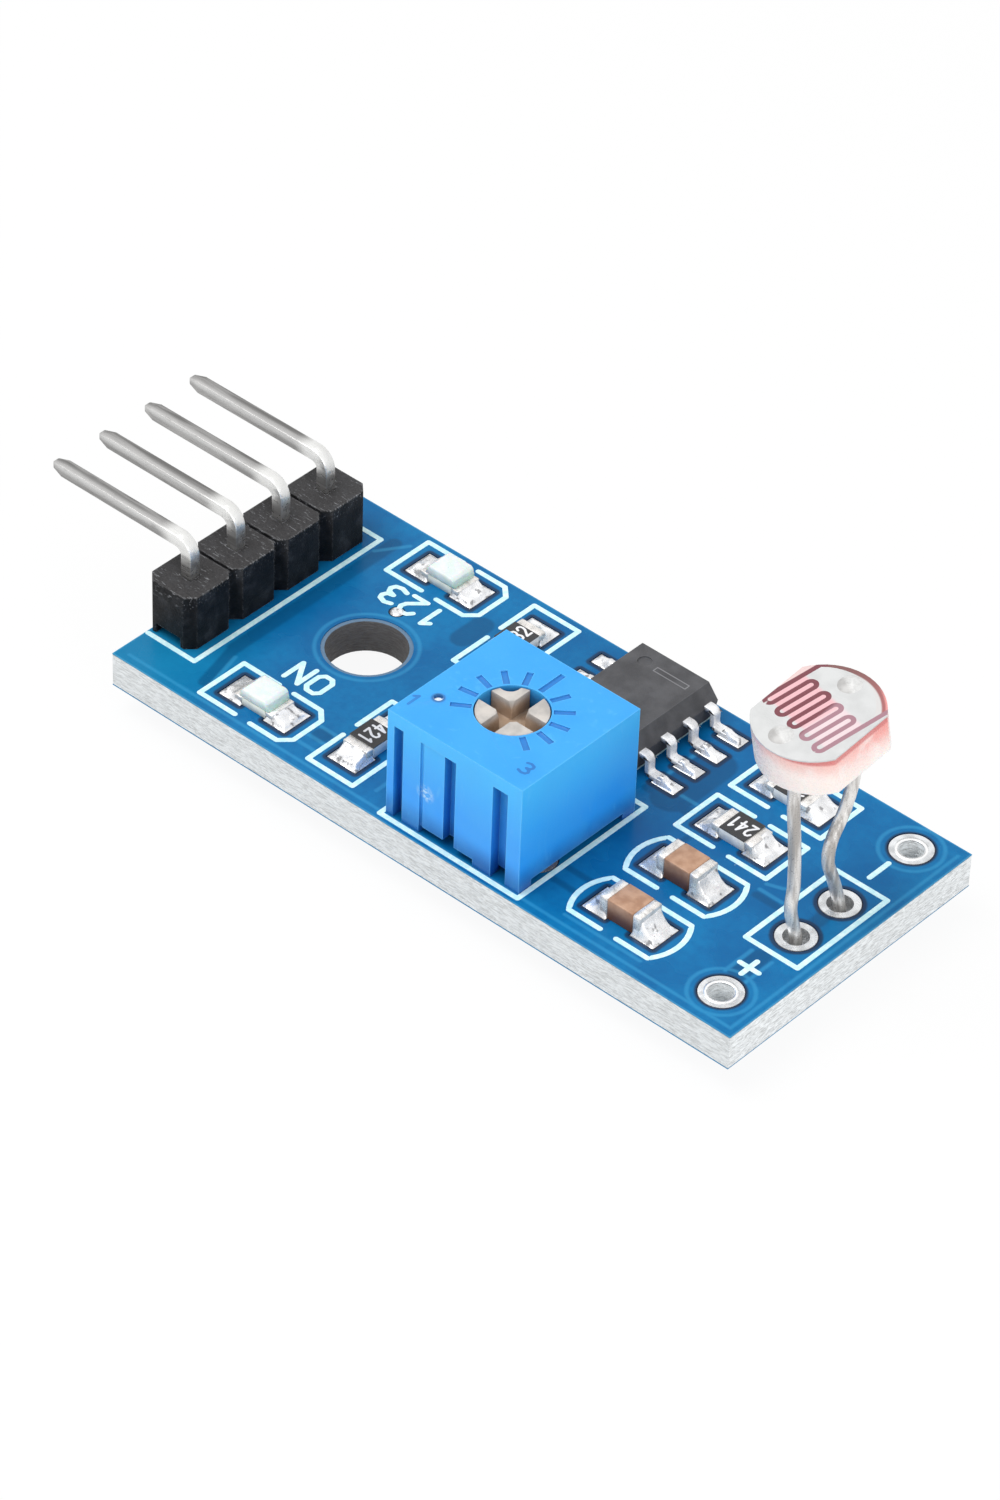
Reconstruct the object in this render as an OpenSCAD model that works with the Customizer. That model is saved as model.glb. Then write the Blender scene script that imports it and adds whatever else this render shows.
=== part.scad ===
// Light sensor module: a small circuit board with a photoresistor, a trimmer,
// a comparator chip and a pin header.
// Units are millimetres. The origin is the centre of the mounting hole on the lower face of the laminate.
// +X runs along the board towards the photoresistor, +Y towards the far long edge, +Z up.

/* [Board] */
// Length of the board
board_l = 31.5; // [31.3:0.1:34]
// Width of the board
board_w = 14; // [14:0.1:15]
// Thickness of the laminate
board_t = 1.5; // [1.0:0.05:2.0]
// Thickness of the lacquer and of the copper it surrounds
mask_t = 0.04; // [0.03:0.005:0.06]
// Diameter of the mounting hole
hole_d = 3.3; // [3.0:0.05:3.6]
// Distance from the header end of the board to the mounting hole
hole_from_end = 6.83; // [6.7:0.01:7.2]
// Distance from the near long edge to the mounting hole
hole_from_side = 7.15; // [7.0:0.01:7.3]

/* [Pads and print] */
// Diameter of the two ring pads at the sensor end
corner_pad_d = 1.74; // [1.6:0.02:2.0]
// Finished hole in those two pads
corner_hole_d = 1.0; // [0.9:0.02:1.1]
// Distance of the far one of those two pads from the far long edge
corner_from_edge = 1.35; // [1.25:0.05:1.6]
// Wall of the plating in every plated hole
plating_t = 0.03; // [0.02:0.005:0.05]
// Width of the printed lines
line_w = 0.22; // [0.12:0.01:0.24]
// Thickness of the printed lines
print_t = 0.02; // [0.015:0.005:0.04]

/* [Header] */
// Distance between neighbouring pins
pin_pitch = 2.54;
// Side of the square pins
pin_side = 0.54; // [0.5:0.01:0.64]
// Width of the plastic block
block_w = 2.45; // [2.2:0.01:2.5]
// Height of the plastic block
block_h = 2.54; // [2.3:0.01:2.8]
// Height of the level part of the pins above the board
pin_run_h = 4.05; // [3.7:0.05:4.6]
// Reach of the pins beyond their drilled holes
pin_reach = 7.35; // [6.0:0.05:9.0]
// Length of every lead stub below the board
stub_l = 1.25; // [1.1:0.05:1.6]

/* [Chip parts] */
// Length of the chip resistors, capacitors and lights
chip_l = 2.0; // [1.9:0.01:2.1]
// Width of the chip resistors, capacitors and lights
chip_w = 1.25; // [1.15:0.01:1.3]
// Height of the resistors
resistor_h = 0.52; // [0.45:0.01:0.6]
// Height of the capacitors
capacitor_h = 0.95; // [0.6:0.01:1.25]
// Length of the plated ends
terminal_l = 0.38; // [0.3:0.01:0.45]
// Height of the light bases
light_base_h = 0.35; // [0.3:0.01:0.4]
// Length of the light lenses, which reach over the plated ends
lens_l = 1.56; // [1.3:0.02:1.7]
// Height of the light lenses above their bases
lens_h = 0.45; // [0.35:0.01:0.6]

/* [Comparator] */
// Width of the moulded package
package_w = 3.9; // [3.8:0.01:4.0]
// Length of the moulded package
package_l = 4.9; // [4.8:0.01:5.0]
// Height of the moulded package
package_h = 1.45; // [1.3:0.01:1.5]
// Distance between neighbouring leads
lead_pitch = 1.27;

/* [Trimmer] */
// Size of the housing along the board
trimmer_l = 6.72; // [6.6:0.01:6.76]
// Size of the housing across the board
trimmer_w = 6.56; // [6.45:0.01:6.6]
// Height of the housing
trimmer_h = 5.05; // [4.9:0.01:5.3]
// Diameter of the rotor
rotor_d = 2.84; // [2.7:0.01:3.0]
// Width of the screwdriver slot
slot_w = 0.68; // [0.55:0.01:0.75]
// Depth of the screwdriver slot
slot_depth = 0.85; // [0.6:0.01:0.95]
// Turn of the rotor from rest to each stop, in degrees
rotor_turn = 105; // [90:1:110]

/* [Photoresistor] */
// Longer width of the disc, before the flats
disc_d = 5.0; // [4.9:0.01:5.1]
// Width of the disc across its two flats
disc_flat_w = 4.15; // [4.1:0.01:4.25]
// Thickness of the disc
disc_t = 1.7; // [1.5:0.01:2.0]
// Height of the disc's face above the board
disc_face_h = 9.55; // [8.5:0.05:11]
// Lean of the disc away from the near edge, in degrees
disc_lean = 9; // [0:0.5:12]
// Diameter of the two wire legs
wire_d = 0.5; // [0.45:0.01:0.55]
// Distance between the legs at the disc
wire_gap_top = 3.4; // [3.2:0.01:3.5]
// Diameter of the two contact domes on the disc's face
contact_d = 0.95; // [0.8:0.01:1.0]

/* [Hidden] */
round_fn = 48;
small_fn = 24;
overcut = 0.5;
surface_z = board_t + mask_t;

near_edge = -hole_from_side;
far_edge = board_w - hole_from_side;
header_end = -hole_from_end;
hole_ring = 0.17;
mask_gap = 0.06;
pad_ring = 0.35;

// The artwork lies this much farther from the near edge than from the far edge
artwork_shift = 0.3;

// The two rows that lie at the same margin from the two edges of the artwork
function edge_rows(margin) = [near_edge + artwork_shift + margin, far_edge - margin];

// The middle line of the artwork, on which the header and the photoresistor are centred
artwork_y = (near_edge + artwork_shift + far_edge) / 2;

header_from_end = 0.98;
header_x = header_end + header_from_end;
header_hole_d = pin_side * sqrt(2) + 0.1;
header_pad_d = header_hole_d + 2 * pad_ring;
header_stub_free = 0.25;
pin_rows = [for (i = [0:3]) artwork_y + (i - 1.5) * pin_pitch];

// The chip parts and the legs of the photoresistor lie on the pitch of the header pins
chip_x = 7 * pin_pitch;
sensor_x = chip_x + 2 * pin_pitch;
sensor_pad_y = pin_pitch / 2;
sensor_hole_d = wire_d + 0.54;
sensor_pad_d = sensor_hole_d + 0.58;
sensor_stub_free = 0.4;
corner_pad_x = sensor_x - 0.02;
corner_rows = edge_rows(corner_from_edge);

chip_margin = 2.08;
chip_ends = edge_rows(chip_margin);
chip_rows = [for (i = [0:3]) chip_ends[0] + i * (chip_ends[1] - chip_ends[0]) / 3];
capacitor_rows = [chip_rows[0], chip_rows[1]];
resistor_rows = [chip_rows[2], chip_rows[3]];
cross_margin = 2.75;
cross_x = 4.12;
cross_rows = edge_rows(cross_margin);
light_margin = 1.58;
light_x = -0.46;
light_rows = edge_rows(light_margin);
chip_pad_in = chip_l / 2 - terminal_l;
chip_pad_out = chip_l / 2 + 0.74;
chip_pad_w = chip_w + 0.2;

// The via lies a quarter of the way from the mounting hole's ring to the pads of the far light
via_x = -0.65;
via_low = sqrt(pow(hole_d / 2 + hole_ring, 2) - via_x * via_x);
via_y = via_low + (light_rows[1] - chip_pad_w / 2 - via_low) / 4;
via_d = 0.56;
via_hole_d = 0.3;
via_dome_h = 0.06;

coat_t = 0.04;
die_side = 0.32;
die_h = 0.22;
die_sunk = 0.1;

trimmer_from_near = 0.47;
trimmer_x = 10.57;
trimmer_y = near_edge + trimmer_from_near + trimmer_w / 2;
trimmer_left = trimmer_x - trimmer_l / 2;
trimmer_front = trimmer_y - trimmer_w / 2;
trimmer_back = trimmer_y + trimmer_w / 2;
trimmer_pin_d = 0.5;
trimmer_hole_d = trimmer_pin_d + 0.3;
trimmer_pad_d = trimmer_hole_d + 2 * pad_ring;
trimmer_stub_free = 0.35;
trimmer_pins_at = [
    [trimmer_x - pin_pitch, trimmer_y - pin_pitch / 2],
    [trimmer_x + pin_pitch, trimmer_y - pin_pitch / 2],
    [trimmer_x, trimmer_y + pin_pitch / 2]
];
rotor_shift = 0.1;
rotor_x = trimmer_x;
rotor_y = trimmer_y - rotor_shift;
rotor_fit = 0.05;
rotor_sink = 0.04;
side_wall = 0.58;
cavity_r = trimmer_w / 2 - rotor_shift - side_wall;
top_wall = 1.1;
trimmer_top = surface_z + trimmer_h;
cavity_top = trimmer_top - top_wall;
groove_depth = 0.45;
foot_h = 0.32;
foot_side = 0.7;
element_t = 0.7;
element_z = surface_z + 1.0;
track_ring_t = 0.05;
track_ring_out = cavity_r - 0.3;
track_ring_in = track_ring_out - 0.6;
flange_r = cavity_r - 0.55;
flange_t = 0.5;
wiper_t = 0.15;
wiper_r = flange_r - 0.15;
wiper_foot_d = 0.3;
wiper_hub_d = 0.6;

// The engraved ticks round the rotor, the middle one longer than the others
tick_steps = 5;
tick_angle = 25;
tick_w = 0.26;
tick_depth = 0.07;
tick_in = rotor_d / 2 + 0.12;
tick_out = tick_in + 0.81;
long_tick_out = tick_in + 1.31;

package_x = 10.6;
package_shift = 0.455;
package_y = (trimmer_back + far_edge) / 2 + package_shift;
package_lift = 0.14;
lead_w = 0.42;
lead_t = 0.2;
lead_shoulder_h = package_lift + package_h / 2;
lead_bend_r = 0.3;
lead_root_x = package_w / 2 - 0.75;
lead_knee_x = package_w / 2 + 0.45;
lead_foot_x = package_w / 2 + 1.1;
lead_pad_in = lead_foot_x - 0.4;
lead_pad_out = lead_foot_x + 0.7;
lead_pad_w = lead_w + 0.2;

stop_in = flange_r + 0.08;
stop_half = 45;
lug_half = 180 - rotor_turn - stop_half;
lug_r = cavity_r - rotor_fit;

disc_x = sensor_x - 0.76;
disc_turn = -3;
disc_tip = -3;
film_t = 0.06;
wire_seat = disc_t - film_t;
contact_h = 0.14;
contact_points = [[-0.3, -1.67], [-0.08, 1.78]];

// The winding track is turned on the face, and each of its lines lies a little lower than the one before
track_turn = -10.3;
track_n = 10;
track_pitch = 0.397;
track_w = 0.2;
track_x0 = -1.93;
track_half = 0.787;
track_mid = -0.087;
track_drop = 0.0204;

// The right comb ends at this round edge, and the film shows between it and the rim
comb_r = 2.17;
comb_at = [-0.2, 0.1];

// Plain helpers

module centred_box(x, y, z) {
    translate([-x / 2, -y / 2, 0])
        cube([x, y, z]);
}

// A round-ended line in the plane
module stroke(a, b, w = line_w) {
    dx = b[0] - a[0];
    dy = b[1] - a[1];
    translate(a)
        circle(d = w, $fn = small_fn);
    translate(b)
        circle(d = w, $fn = small_fn);
    translate(a)
        rotate(atan2(dy, dx))
            translate([0, -w / 2])
                square([sqrt(dx * dx + dy * dy), w]);
}

// A run of round-ended lines
module run(points) {
    for (i = [0:len(points) - 2])
        stroke(points[i], points[i + 1]);
}

// A ring in the plane
module ring(outer_r, inner_r) {
    difference() {
        circle(r = outer_r, $fn = round_fn);
        circle(r = inner_r, $fn = round_fn);
    }
}

// A straight round wire from one point to another
module wire(a, b, d) {
    v = b - a;
    length = norm(v);
    translate(a)
        rotate([0, acos(v[2] / length), atan2(v[1], v[0])])
            cylinder(h = length, d = d, $fn = small_fn);
}

// Board

module mounting_hole() {
    translate([0, 0, -overcut])
        cylinder(h = board_t + 2 * overcut, d = hole_d, $fn = 64);
}

// Puts its children at every point of a list
module at_points(points) {
    for (p = points)
        translate([p[0], p[1], 0])
            children();
}

header_points = [for (y = pin_rows) [header_x, y]];
sensor_points = [for (s = [-1, 1]) [sensor_x, artwork_y + s * sensor_pad_y]];
corner_points = [for (y = corner_rows) [corner_pad_x, y]];

module drilled(d) {
    translate([0, 0, -overcut])
        cylinder(h = board_t + 2 * overcut, d = d, $fn = small_fn);
}

// A ring pad on either face round a hole with a bare wall
module ring_pads(pad, hole) {
    for (z = [-mask_t, board_t])
        translate([0, 0, z])
            linear_extrude(mask_t)
                ring(pad / 2, hole / 2);
}

// A ring pad on either face, joined by the plating of the hole
module plated(pad, hole) {
    difference() {
        union() {
            translate([0, 0, -mask_t])
                cylinder(h = mask_t, d = pad, $fn = round_fn);
            translate([0, 0, -mask_t])
                cylinder(h = board_t + 2 * mask_t, d = hole + 2 * plating_t, $fn = small_fn);
            translate([0, 0, board_t])
                cylinder(h = mask_t, d = pad, $fn = round_fn);
        }
        translate([0, 0, -overcut])
            cylinder(h = board_t + 2 * overcut, d = hole, $fn = small_fn);
    }
}

module circuit_board() {
    color([0.78, 0.78, 0.72])
        difference() {
            translate([-hole_from_end, -hole_from_side, 0])
                cube([board_l, board_w, board_t]);
            mounting_hole();
            at_points(header_points)
                drilled(header_hole_d + 2 * plating_t);
            at_points(sensor_points)
                drilled(sensor_hole_d + 2 * plating_t);
            at_points(corner_points)
                drilled(corner_hole_d);
            at_points(trimmer_pins_at)
                drilled(trimmer_hole_d + 2 * plating_t);
            at_points([[via_x, via_y]])
                drilled(via_hole_d + 2 * plating_t);
        }
}

// Openings of the lacquer round the ring pads and the mounting hole
module round_openings() {
    circle(r = hole_d / 2 + hole_ring, $fn = 64);
    at_points(header_points)
        circle(d = header_pad_d + 2 * mask_gap, $fn = round_fn);
    at_points(sensor_points)
        circle(d = sensor_pad_d + 2 * mask_gap, $fn = round_fn);
    at_points(corner_points)
        circle(d = corner_pad_d + 2 * mask_gap, $fn = round_fn);
    at_points(trimmer_pins_at)
        circle(d = trimmer_pad_d + 2 * mask_gap, $fn = round_fn);
    at_points([[via_x, via_y]])
        circle(d = via_d + 2 * mask_gap, $fn = small_fn);
}

// The two pads of a chip part lying along X
module chip_pads(grow) {
    for (s = [-1, 1])
        translate([s * (chip_pad_in + chip_pad_out) / 2, 0])
            square([chip_pad_out - chip_pad_in + 2 * grow, chip_pad_w + 2 * grow], center = true);
}

// The eight pads of the comparator
module comparator_pads(grow) {
    for (s = [-1, 1])
        for (i = [0:3])
            translate([package_x + s * (lead_pad_in + lead_pad_out) / 2, package_y + (i - 1.5) * lead_pitch])
                square([lead_pad_out - lead_pad_in + 2 * grow, lead_pad_w + 2 * grow], center = true);
}

// Puts its children at every chip part, turned to lie along it
module at_resistors() {
    for (y = resistor_rows)
        translate([chip_x, y])
            children();
    for (y = cross_rows)
        translate([cross_x, y])
            rotate(90)
                children();
}

module at_capacitors() {
    for (y = capacitor_rows)
        translate([chip_x, y])
            children();
}

module at_lights() {
    for (y = light_rows)
        translate([light_x, y])
            children();
}

module surface_pads(grow) {
    at_resistors()
        chip_pads(grow);
    at_capacitors()
        chip_pads(grow);
    at_lights()
        chip_pads(grow);
    comparator_pads(grow);
}

module lacquer_outline() {
    translate([-hole_from_end, -hole_from_side])
        square([board_l, board_w]);
}

module solder_mask_top() {
    color([0.1, 0.42, 0.68])
        translate([0, 0, board_t])
            linear_extrude(mask_t)
                difference() {
                    lacquer_outline();
                    round_openings();
                    surface_pads(mask_gap);
                }
}

module solder_mask_bottom() {
    color([0.1, 0.42, 0.68])
        translate([0, 0, -mask_t])
            linear_extrude(mask_t)
                difference() {
                    lacquer_outline();
                    round_openings();
                }
}

module copper_pads() {
    color([0.82, 0.82, 0.84]) {
        at_points(header_points)
            plated(header_pad_d, header_hole_d);
        at_points(sensor_points)
            plated(sensor_pad_d, sensor_hole_d);
        at_points(corner_points)
            ring_pads(corner_pad_d, corner_hole_d);
        at_points(trimmer_pins_at)
            plated(trimmer_pad_d, trimmer_hole_d);
        at_points([[via_x, via_y]])
            plated(via_d, via_hole_d);
        translate([0, 0, board_t])
            linear_extrude(mask_t)
                surface_pads(0);
    }
}

// Printed outlines

bracket_open = 0.4;

// Two facing brackets round a chip part, open in the middle of both long sides
module brackets(end_gap, side_gap) {
    x = chip_pad_out + end_gap;
    y = chip_pad_w / 2 + side_gap;
    for (s = [-1, 1])
        run([[s * bracket_open, -y], [s * x, -y], [s * x, y], [s * bracket_open, y]]);
}

// Brackets of a light, with the corners of one end cut off to show its direction
module light_brackets() {
    x = chip_pad_out + 0.53;
    y = chip_pad_w / 2 + 0.505;
    cut = 0.45;
    run([[-bracket_open, -y], [-x, -y], [-x, y], [-bracket_open, y]]);
    run([
        [bracket_open, -y], [x - cut, -y], [x, cut - y], [x, y - cut],
        [x - cut, y], [bracket_open, y]
    ]);
}

// Brackets of a capacitor, with rounded ends
module round_brackets() {
    y = chip_pad_w / 2 + 0.515;
    bulge = 0.42;
    end_x = chip_pad_out + 0.19;
    end_r = (y * y + bulge * bulge) / (2 * bulge);
    for (s = [-1, 1]) {
        for (t = [-1, 1])
            stroke([s * bracket_open, t * y], [s * end_x, t * y]);
        intersection() {
            translate([s * (end_x + bulge - end_r), 0])
                ring(end_r + line_w / 2, end_r - line_w / 2);
            translate([s * (end_x + 0.5), 0])
                square([1, 2 * y], center = true);
        }
    }
}

// A closed outline
module frame_line(x0, x1, y0, y1) {
    run([[x0, y0], [x1, y0], [x1, y1], [x0, y1], [x0, y0]]);
}

module header_line() {
    x0 = header_end + 0.13;
    x1 = header_x + block_w / 2 + 0.425;
    y = 2 * pin_pitch + 0.22;
    translate([0, artwork_y])
        run([[x0, -y], [x1, -y], [x1, y], [x0, y]]);
}

// The plus sign beside one spare pad and the minus sign beside the other
module polarity_signs() {
    sign_x = corner_pad_x - 0.1;
    arm = 0.45;
    plus_y = corner_rows[0] + 1.7;
    minus_y = corner_rows[1] - 1.8;
    stroke([sign_x, plus_y - arm], [sign_x, plus_y + arm]);
    stroke([sign_x - arm, plus_y], [sign_x + arm, plus_y]);
    stroke([sign_x, minus_y - 0.56], [sign_x, minus_y + 0.56]);
}

module legend_shapes() {
    header_line();
    at_lights()
        light_brackets();
    for (y = resistor_rows)
        translate([chip_x, y])
            brackets(0.48, 0.485);
    for (y = cross_rows)
        translate([cross_x, y])
            rotate(90)
                brackets(0.61, 0.435);
    at_capacitors()
        round_brackets();
    trimmer_gap = line_w / 2 + 0.02;
    frame_line(
        trimmer_left - trimmer_gap, trimmer_left + trimmer_l + trimmer_gap,
        trimmer_front - 0.19, trimmer_back + 0.48
    );
    for (s = [-1, 1])
        translate([package_x + s * (package_w / 2 - 0.25), package_y])
            stroke([0, -package_l / 2 - 0.17], [0, package_l / 2 + 0.03]);
    frame_line(
        sensor_x - sensor_pad_d / 2 - 0.5, sensor_x + sensor_pad_d / 2 + 0.37,
        sensor_points[0][1] - sensor_pad_d / 2 - 0.52, sensor_points[1][1] + sensor_pad_d / 2 + 0.52
    );
    polarity_signs();
}

module legend_print() {
    color([0.85, 0.97, 0.98])
        translate([0, 0, surface_z])
            linear_extrude(print_t)
                difference() {
                    legend_shapes();
                    round_openings();
                    surface_pads(mask_gap);
                }
}

// Header

// One bent pin: down through the board, up through the block, then level towards -X
module header_pin(y) {
    half = pin_side / 2;
    bend_in = 0.3;
    bend_out = bend_in + pin_side;
    run_z = surface_z + pin_run_h;
    tip = 0.55;
    tip_half = 0.16;
    color([0.85, 0.85, 0.87])
        translate([header_x, y, 0])
            intersection() {
                translate([0, half, 0])
                    rotate([90, 0, 0])
                        linear_extrude(pin_side) {
                            polygon([
                                [-tip_half, -stub_l], [tip_half, -stub_l], [half, tip - stub_l],
                                [half, run_z - half - bend_in], [-half, run_z - half - bend_in],
                                [-half, tip - stub_l]
                            ]);
                            polygon([
                                [-half - bend_in, run_z + half], [-pin_reach + tip, run_z + half],
                                [-pin_reach, run_z + tip_half], [-pin_reach, run_z - tip_half],
                                [-pin_reach + tip, run_z - half], [-half - bend_in, run_z - half]
                            ]);
                            translate([-half - bend_in, run_z - half - bend_in])
                                intersection() {
                                    ring(bend_out, bend_in);
                                    square(bend_out);
                                }
                        }
                union() {
                    translate([0, 0, run_z - half - overcut])
                        linear_extrude(pin_side + 2 * overcut)
                            polygon([
                                [half + overcut, -half], [half + overcut, half], [-pin_reach + tip, half],
                                [-pin_reach, tip_half], [-pin_reach, -tip_half], [-pin_reach + tip, -half]
                            ]);
                    translate([half + overcut, 0, 0])
                        rotate([90, 0, -90])
                            linear_extrude(pin_side + 2 * overcut)
                                polygon([
                                    [-tip_half, -stub_l], [tip_half, -stub_l], [half, tip - stub_l],
                                    [half, run_z], [-half, run_z], [-half, tip - stub_l]
                                ]);
                }
            }
}

module header_block() {
    edge = 0.4;
    hx = block_w / 2;
    hy = pin_pitch / 2;
    vent_w = 1.3;
    vent_h = 0.45;
    nick = 0.14;
    color([0.16, 0.17, 0.18])
        difference() {
            translate([header_x, 0, surface_z])
                linear_extrude(block_h)
                    for (y = pin_rows)
                        translate([0, y])
                            polygon([
                                [-hx + edge, -hy], [hx - edge, -hy], [hx, -hy + edge], [hx, hy - edge],
                                [hx - edge, hy], [-hx + edge, hy], [-hx, hy - edge], [-hx, -hy + edge]
                            ]);
            for (i = [-1:1])
                translate([header_x, artwork_y + i * pin_pitch, surface_z + block_h - nick])
                    centred_box(block_w, nick, 2 * nick);
            translate([header_x, artwork_y, surface_z - nick])
                centred_box(vent_w, 4 * pin_pitch + overcut, vent_h + nick);
            for (y = pin_rows)
                translate([header_x, y, surface_z - overcut])
                    centred_box(pin_side, pin_side, block_h + 2 * overcut);
        }
}

// A solder joint below the board that fills its plated hole up to a height
module joint_form(pad, hole, drop, fill_z, tip_r) {
    rotate_extrude($fn = small_fn)
        polygon([
            [0, -mask_t], [0, -drop], [tip_r, -drop], [tip_r + 0.06, -drop * 0.62],
            [hole / 2, -0.24], [pad / 2, -mask_t]
        ]);
    translate([0, 0, -mask_t])
        cylinder(h = fill_z + mask_t, d = hole, $fn = small_fn);
}

module header_solder() {
    color([0.8, 0.81, 0.83])
        difference() {
            at_points(header_points)
                joint_form(
                    header_pad_d, header_hole_d, stub_l - header_stub_free,
                    board_t, pin_side / 2 + 0.1
                );
            for (p = header_points)
                translate([p[0], p[1], -stub_l - overcut])
                    centred_box(pin_side, pin_side, stub_l + board_t + 2 * overcut);
        }
}

// Indicator lights

module light_base() {
    difference() {
        translate([0, 0, surface_z])
            centred_box(chip_l - 2 * terminal_l, chip_w, light_base_h);
        light_die();
    }
}

module light_die() {
    translate([0, 0, surface_z + light_base_h - die_sunk])
        centred_box(die_side, die_side, die_h);
}

// A lens with sloping ends and a short bevel round its top
module light_lens() {
    low = lens_l / 2;
    high = low - 0.08;
    bevel_w = 0.14;
    bevel_h = 0.12;
    side = chip_w / 2;
    difference() {
        translate([0, side, surface_z + light_base_h])
            rotate([90, 0, 0])
                linear_extrude(chip_w)
                    polygon([
                        [-low, 0], [low, 0], [high, lens_h - bevel_h], [high - bevel_w, lens_h],
                        [bevel_w - high, lens_h], [-high, lens_h - bevel_h]
                    ]);
        light_die();
    }
}

module end_terminals(h) {
    for (s = [-1, 1])
        translate([s * (chip_l - terminal_l) / 2, 0, surface_z])
            centred_box(terminal_l, chip_w, h);
}

module power_led_base() {
    color([0.9, 0.92, 0.88])
        translate([light_x, light_rows[0], 0])
            light_base();
}

module power_led_lens() {
    color([0.86, 0.93, 0.88])
        translate([light_x, light_rows[0], 0])
            light_lens();
}

module power_led_terminals() {
    color([0.8, 0.78, 0.7])
        translate([light_x, light_rows[0], 0])
            end_terminals(light_base_h);
}

module output_led_base() {
    color([0.9, 0.92, 0.88])
        translate([light_x, light_rows[1], 0])
            light_base();
}

module output_led_lens() {
    color([0.86, 0.93, 0.88])
        translate([light_x, light_rows[1], 0])
            light_lens();
}

module output_led_terminals() {
    color([0.8, 0.78, 0.7])
        translate([light_x, light_rows[1], 0])
            end_terminals(light_base_h);
}

module light_dies() {
    color([0.75, 0.8, 0.6])
        at_lights()
            light_die();
}

// Resistors and capacitors

module resistor_bodies() {
    color([0.93, 0.93, 0.9])
        at_resistors()
            translate([0, 0, surface_z])
                centred_box(chip_l - 2 * terminal_l, chip_w, resistor_h - coat_t);
}

module resistor_coats() {
    color([0.1, 0.1, 0.11])
        at_resistors()
            translate([0, 0, surface_z + resistor_h - coat_t])
                centred_box(chip_l - 2 * terminal_l, chip_w, coat_t);
}

module resistor_terminals() {
    color([0.82, 0.82, 0.84])
        at_resistors()
            end_terminals(resistor_h - coat_t);
}

module capacitor_bodies() {
    color([0.76, 0.6, 0.46])
        at_capacitors()
            translate([0, 0, surface_z])
                centred_box(chip_l - 2 * terminal_l, chip_w, capacitor_h);
}

module capacitor_terminals() {
    color([0.84, 0.83, 0.82])
        at_capacitors()
            end_terminals(capacitor_h);
}

// A hollow-faced solder wedge against an upright face at x = 0, reaching out along +X
module solder_wedge(reach, rise, w) {
    translate([0, w / 2, surface_z])
        rotate([90, 0, 0])
            linear_extrude(w)
                polygon([
                    [0, 0], [reach, 0], [reach, 0.03], [reach * 0.6, rise * 0.2],
                    [reach * 0.28, rise * 0.5], [reach * 0.1, rise * 0.82], [0, rise]
                ]);
}

module end_wedges(rise) {
    for (s = [0, 1])
        rotate(180 * s)
            translate([chip_l / 2, 0, 0])
                solder_wedge(chip_pad_out - chip_l / 2, rise, chip_w);
}

module surface_solder() {
    color([0.86, 0.87, 0.88]) {
        at_resistors()
            end_wedges(resistor_h - coat_t);
        at_capacitors()
            end_wedges(capacitor_h * 0.75);
        at_lights()
            end_wedges(light_base_h);
        for (s = [0, 1])
            translate([package_x, package_y, 0])
                rotate(180 * s)
                    for (i = [0:3])
                        translate([lead_foot_x, (i - 1.5) * lead_pitch, 0])
                            solder_wedge(lead_pad_out - lead_foot_x, lead_t, lead_w);
    }
}

// Comparator

module lead_profile() {
    mid = lead_shoulder_h;
    knee_r = lead_bend_r;
    polygon([
        [lead_root_x, mid - lead_t / 2], [lead_knee_x - knee_r, mid - lead_t / 2],
        [lead_knee_x - knee_r, mid + lead_t / 2], [lead_root_x, mid + lead_t / 2]
    ]);
    translate([lead_knee_x - knee_r, mid + lead_t / 2 - knee_r])
        intersection() {
            ring(knee_r, knee_r - lead_t);
            square(knee_r);
        }
    translate([lead_knee_x - lead_t, knee_r])
        square([lead_t, mid + lead_t / 2 - 2 * knee_r]);
    translate([lead_knee_x - lead_t + knee_r, knee_r])
        intersection() {
            ring(knee_r, knee_r - lead_t);
            translate([-knee_r, -knee_r])
                square(knee_r);
        }
    translate([lead_knee_x - lead_t + knee_r, 0])
        square([lead_foot_x - lead_knee_x + lead_t - knee_r, lead_t]);
}

module comparator_leads() {
    translate([package_x, package_y, surface_z])
        for (s = [0, 1])
            rotate(180 * s)
                for (i = [0:3])
                    translate([0, (i - 1.5) * lead_pitch + lead_w / 2, 0])
                        rotate([90, 0, 0])
                            linear_extrude(lead_w)
                                lead_profile();
}

module chip_leads() {
    color([0.83, 0.83, 0.85])
        comparator_leads();
}

module chip_body() {
    hw = package_w / 2;
    hl = package_l / 2;
    waist = lead_shoulder_h - package_lift;
    draft = 0.1;
    bevel = 0.42;
    color([0.27, 0.27, 0.28])
        difference() {
            translate([package_x, package_y, surface_z + package_lift])
                intersection() {
                    translate([0, hl, 0])
                        rotate([90, 0, 0])
                            linear_extrude(package_l)
                                polygon([
                                    [-hw + draft, 0], [hw - draft, 0], [hw, waist],
                                    [hw - bevel, package_h], [-hw + draft, package_h], [-hw, waist]
                                ]);
                    translate([-hw, 0, 0])
                        rotate([90, 0, 90])
                            linear_extrude(package_w)
                                polygon([
                                    [-hl + draft, 0], [hl - draft, 0], [hl, waist],
                                    [hl - draft, package_h], [-hl + draft, package_h], [-hl, waist]
                                ]);
                }
            comparator_leads();
            translate([package_x - 1.05, package_y + 1.57, surface_z + package_lift + package_h - 0.06])
                cylinder(h = 1, d = 0.6, $fn = small_fn);
        }
}

// Trimmer

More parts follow.
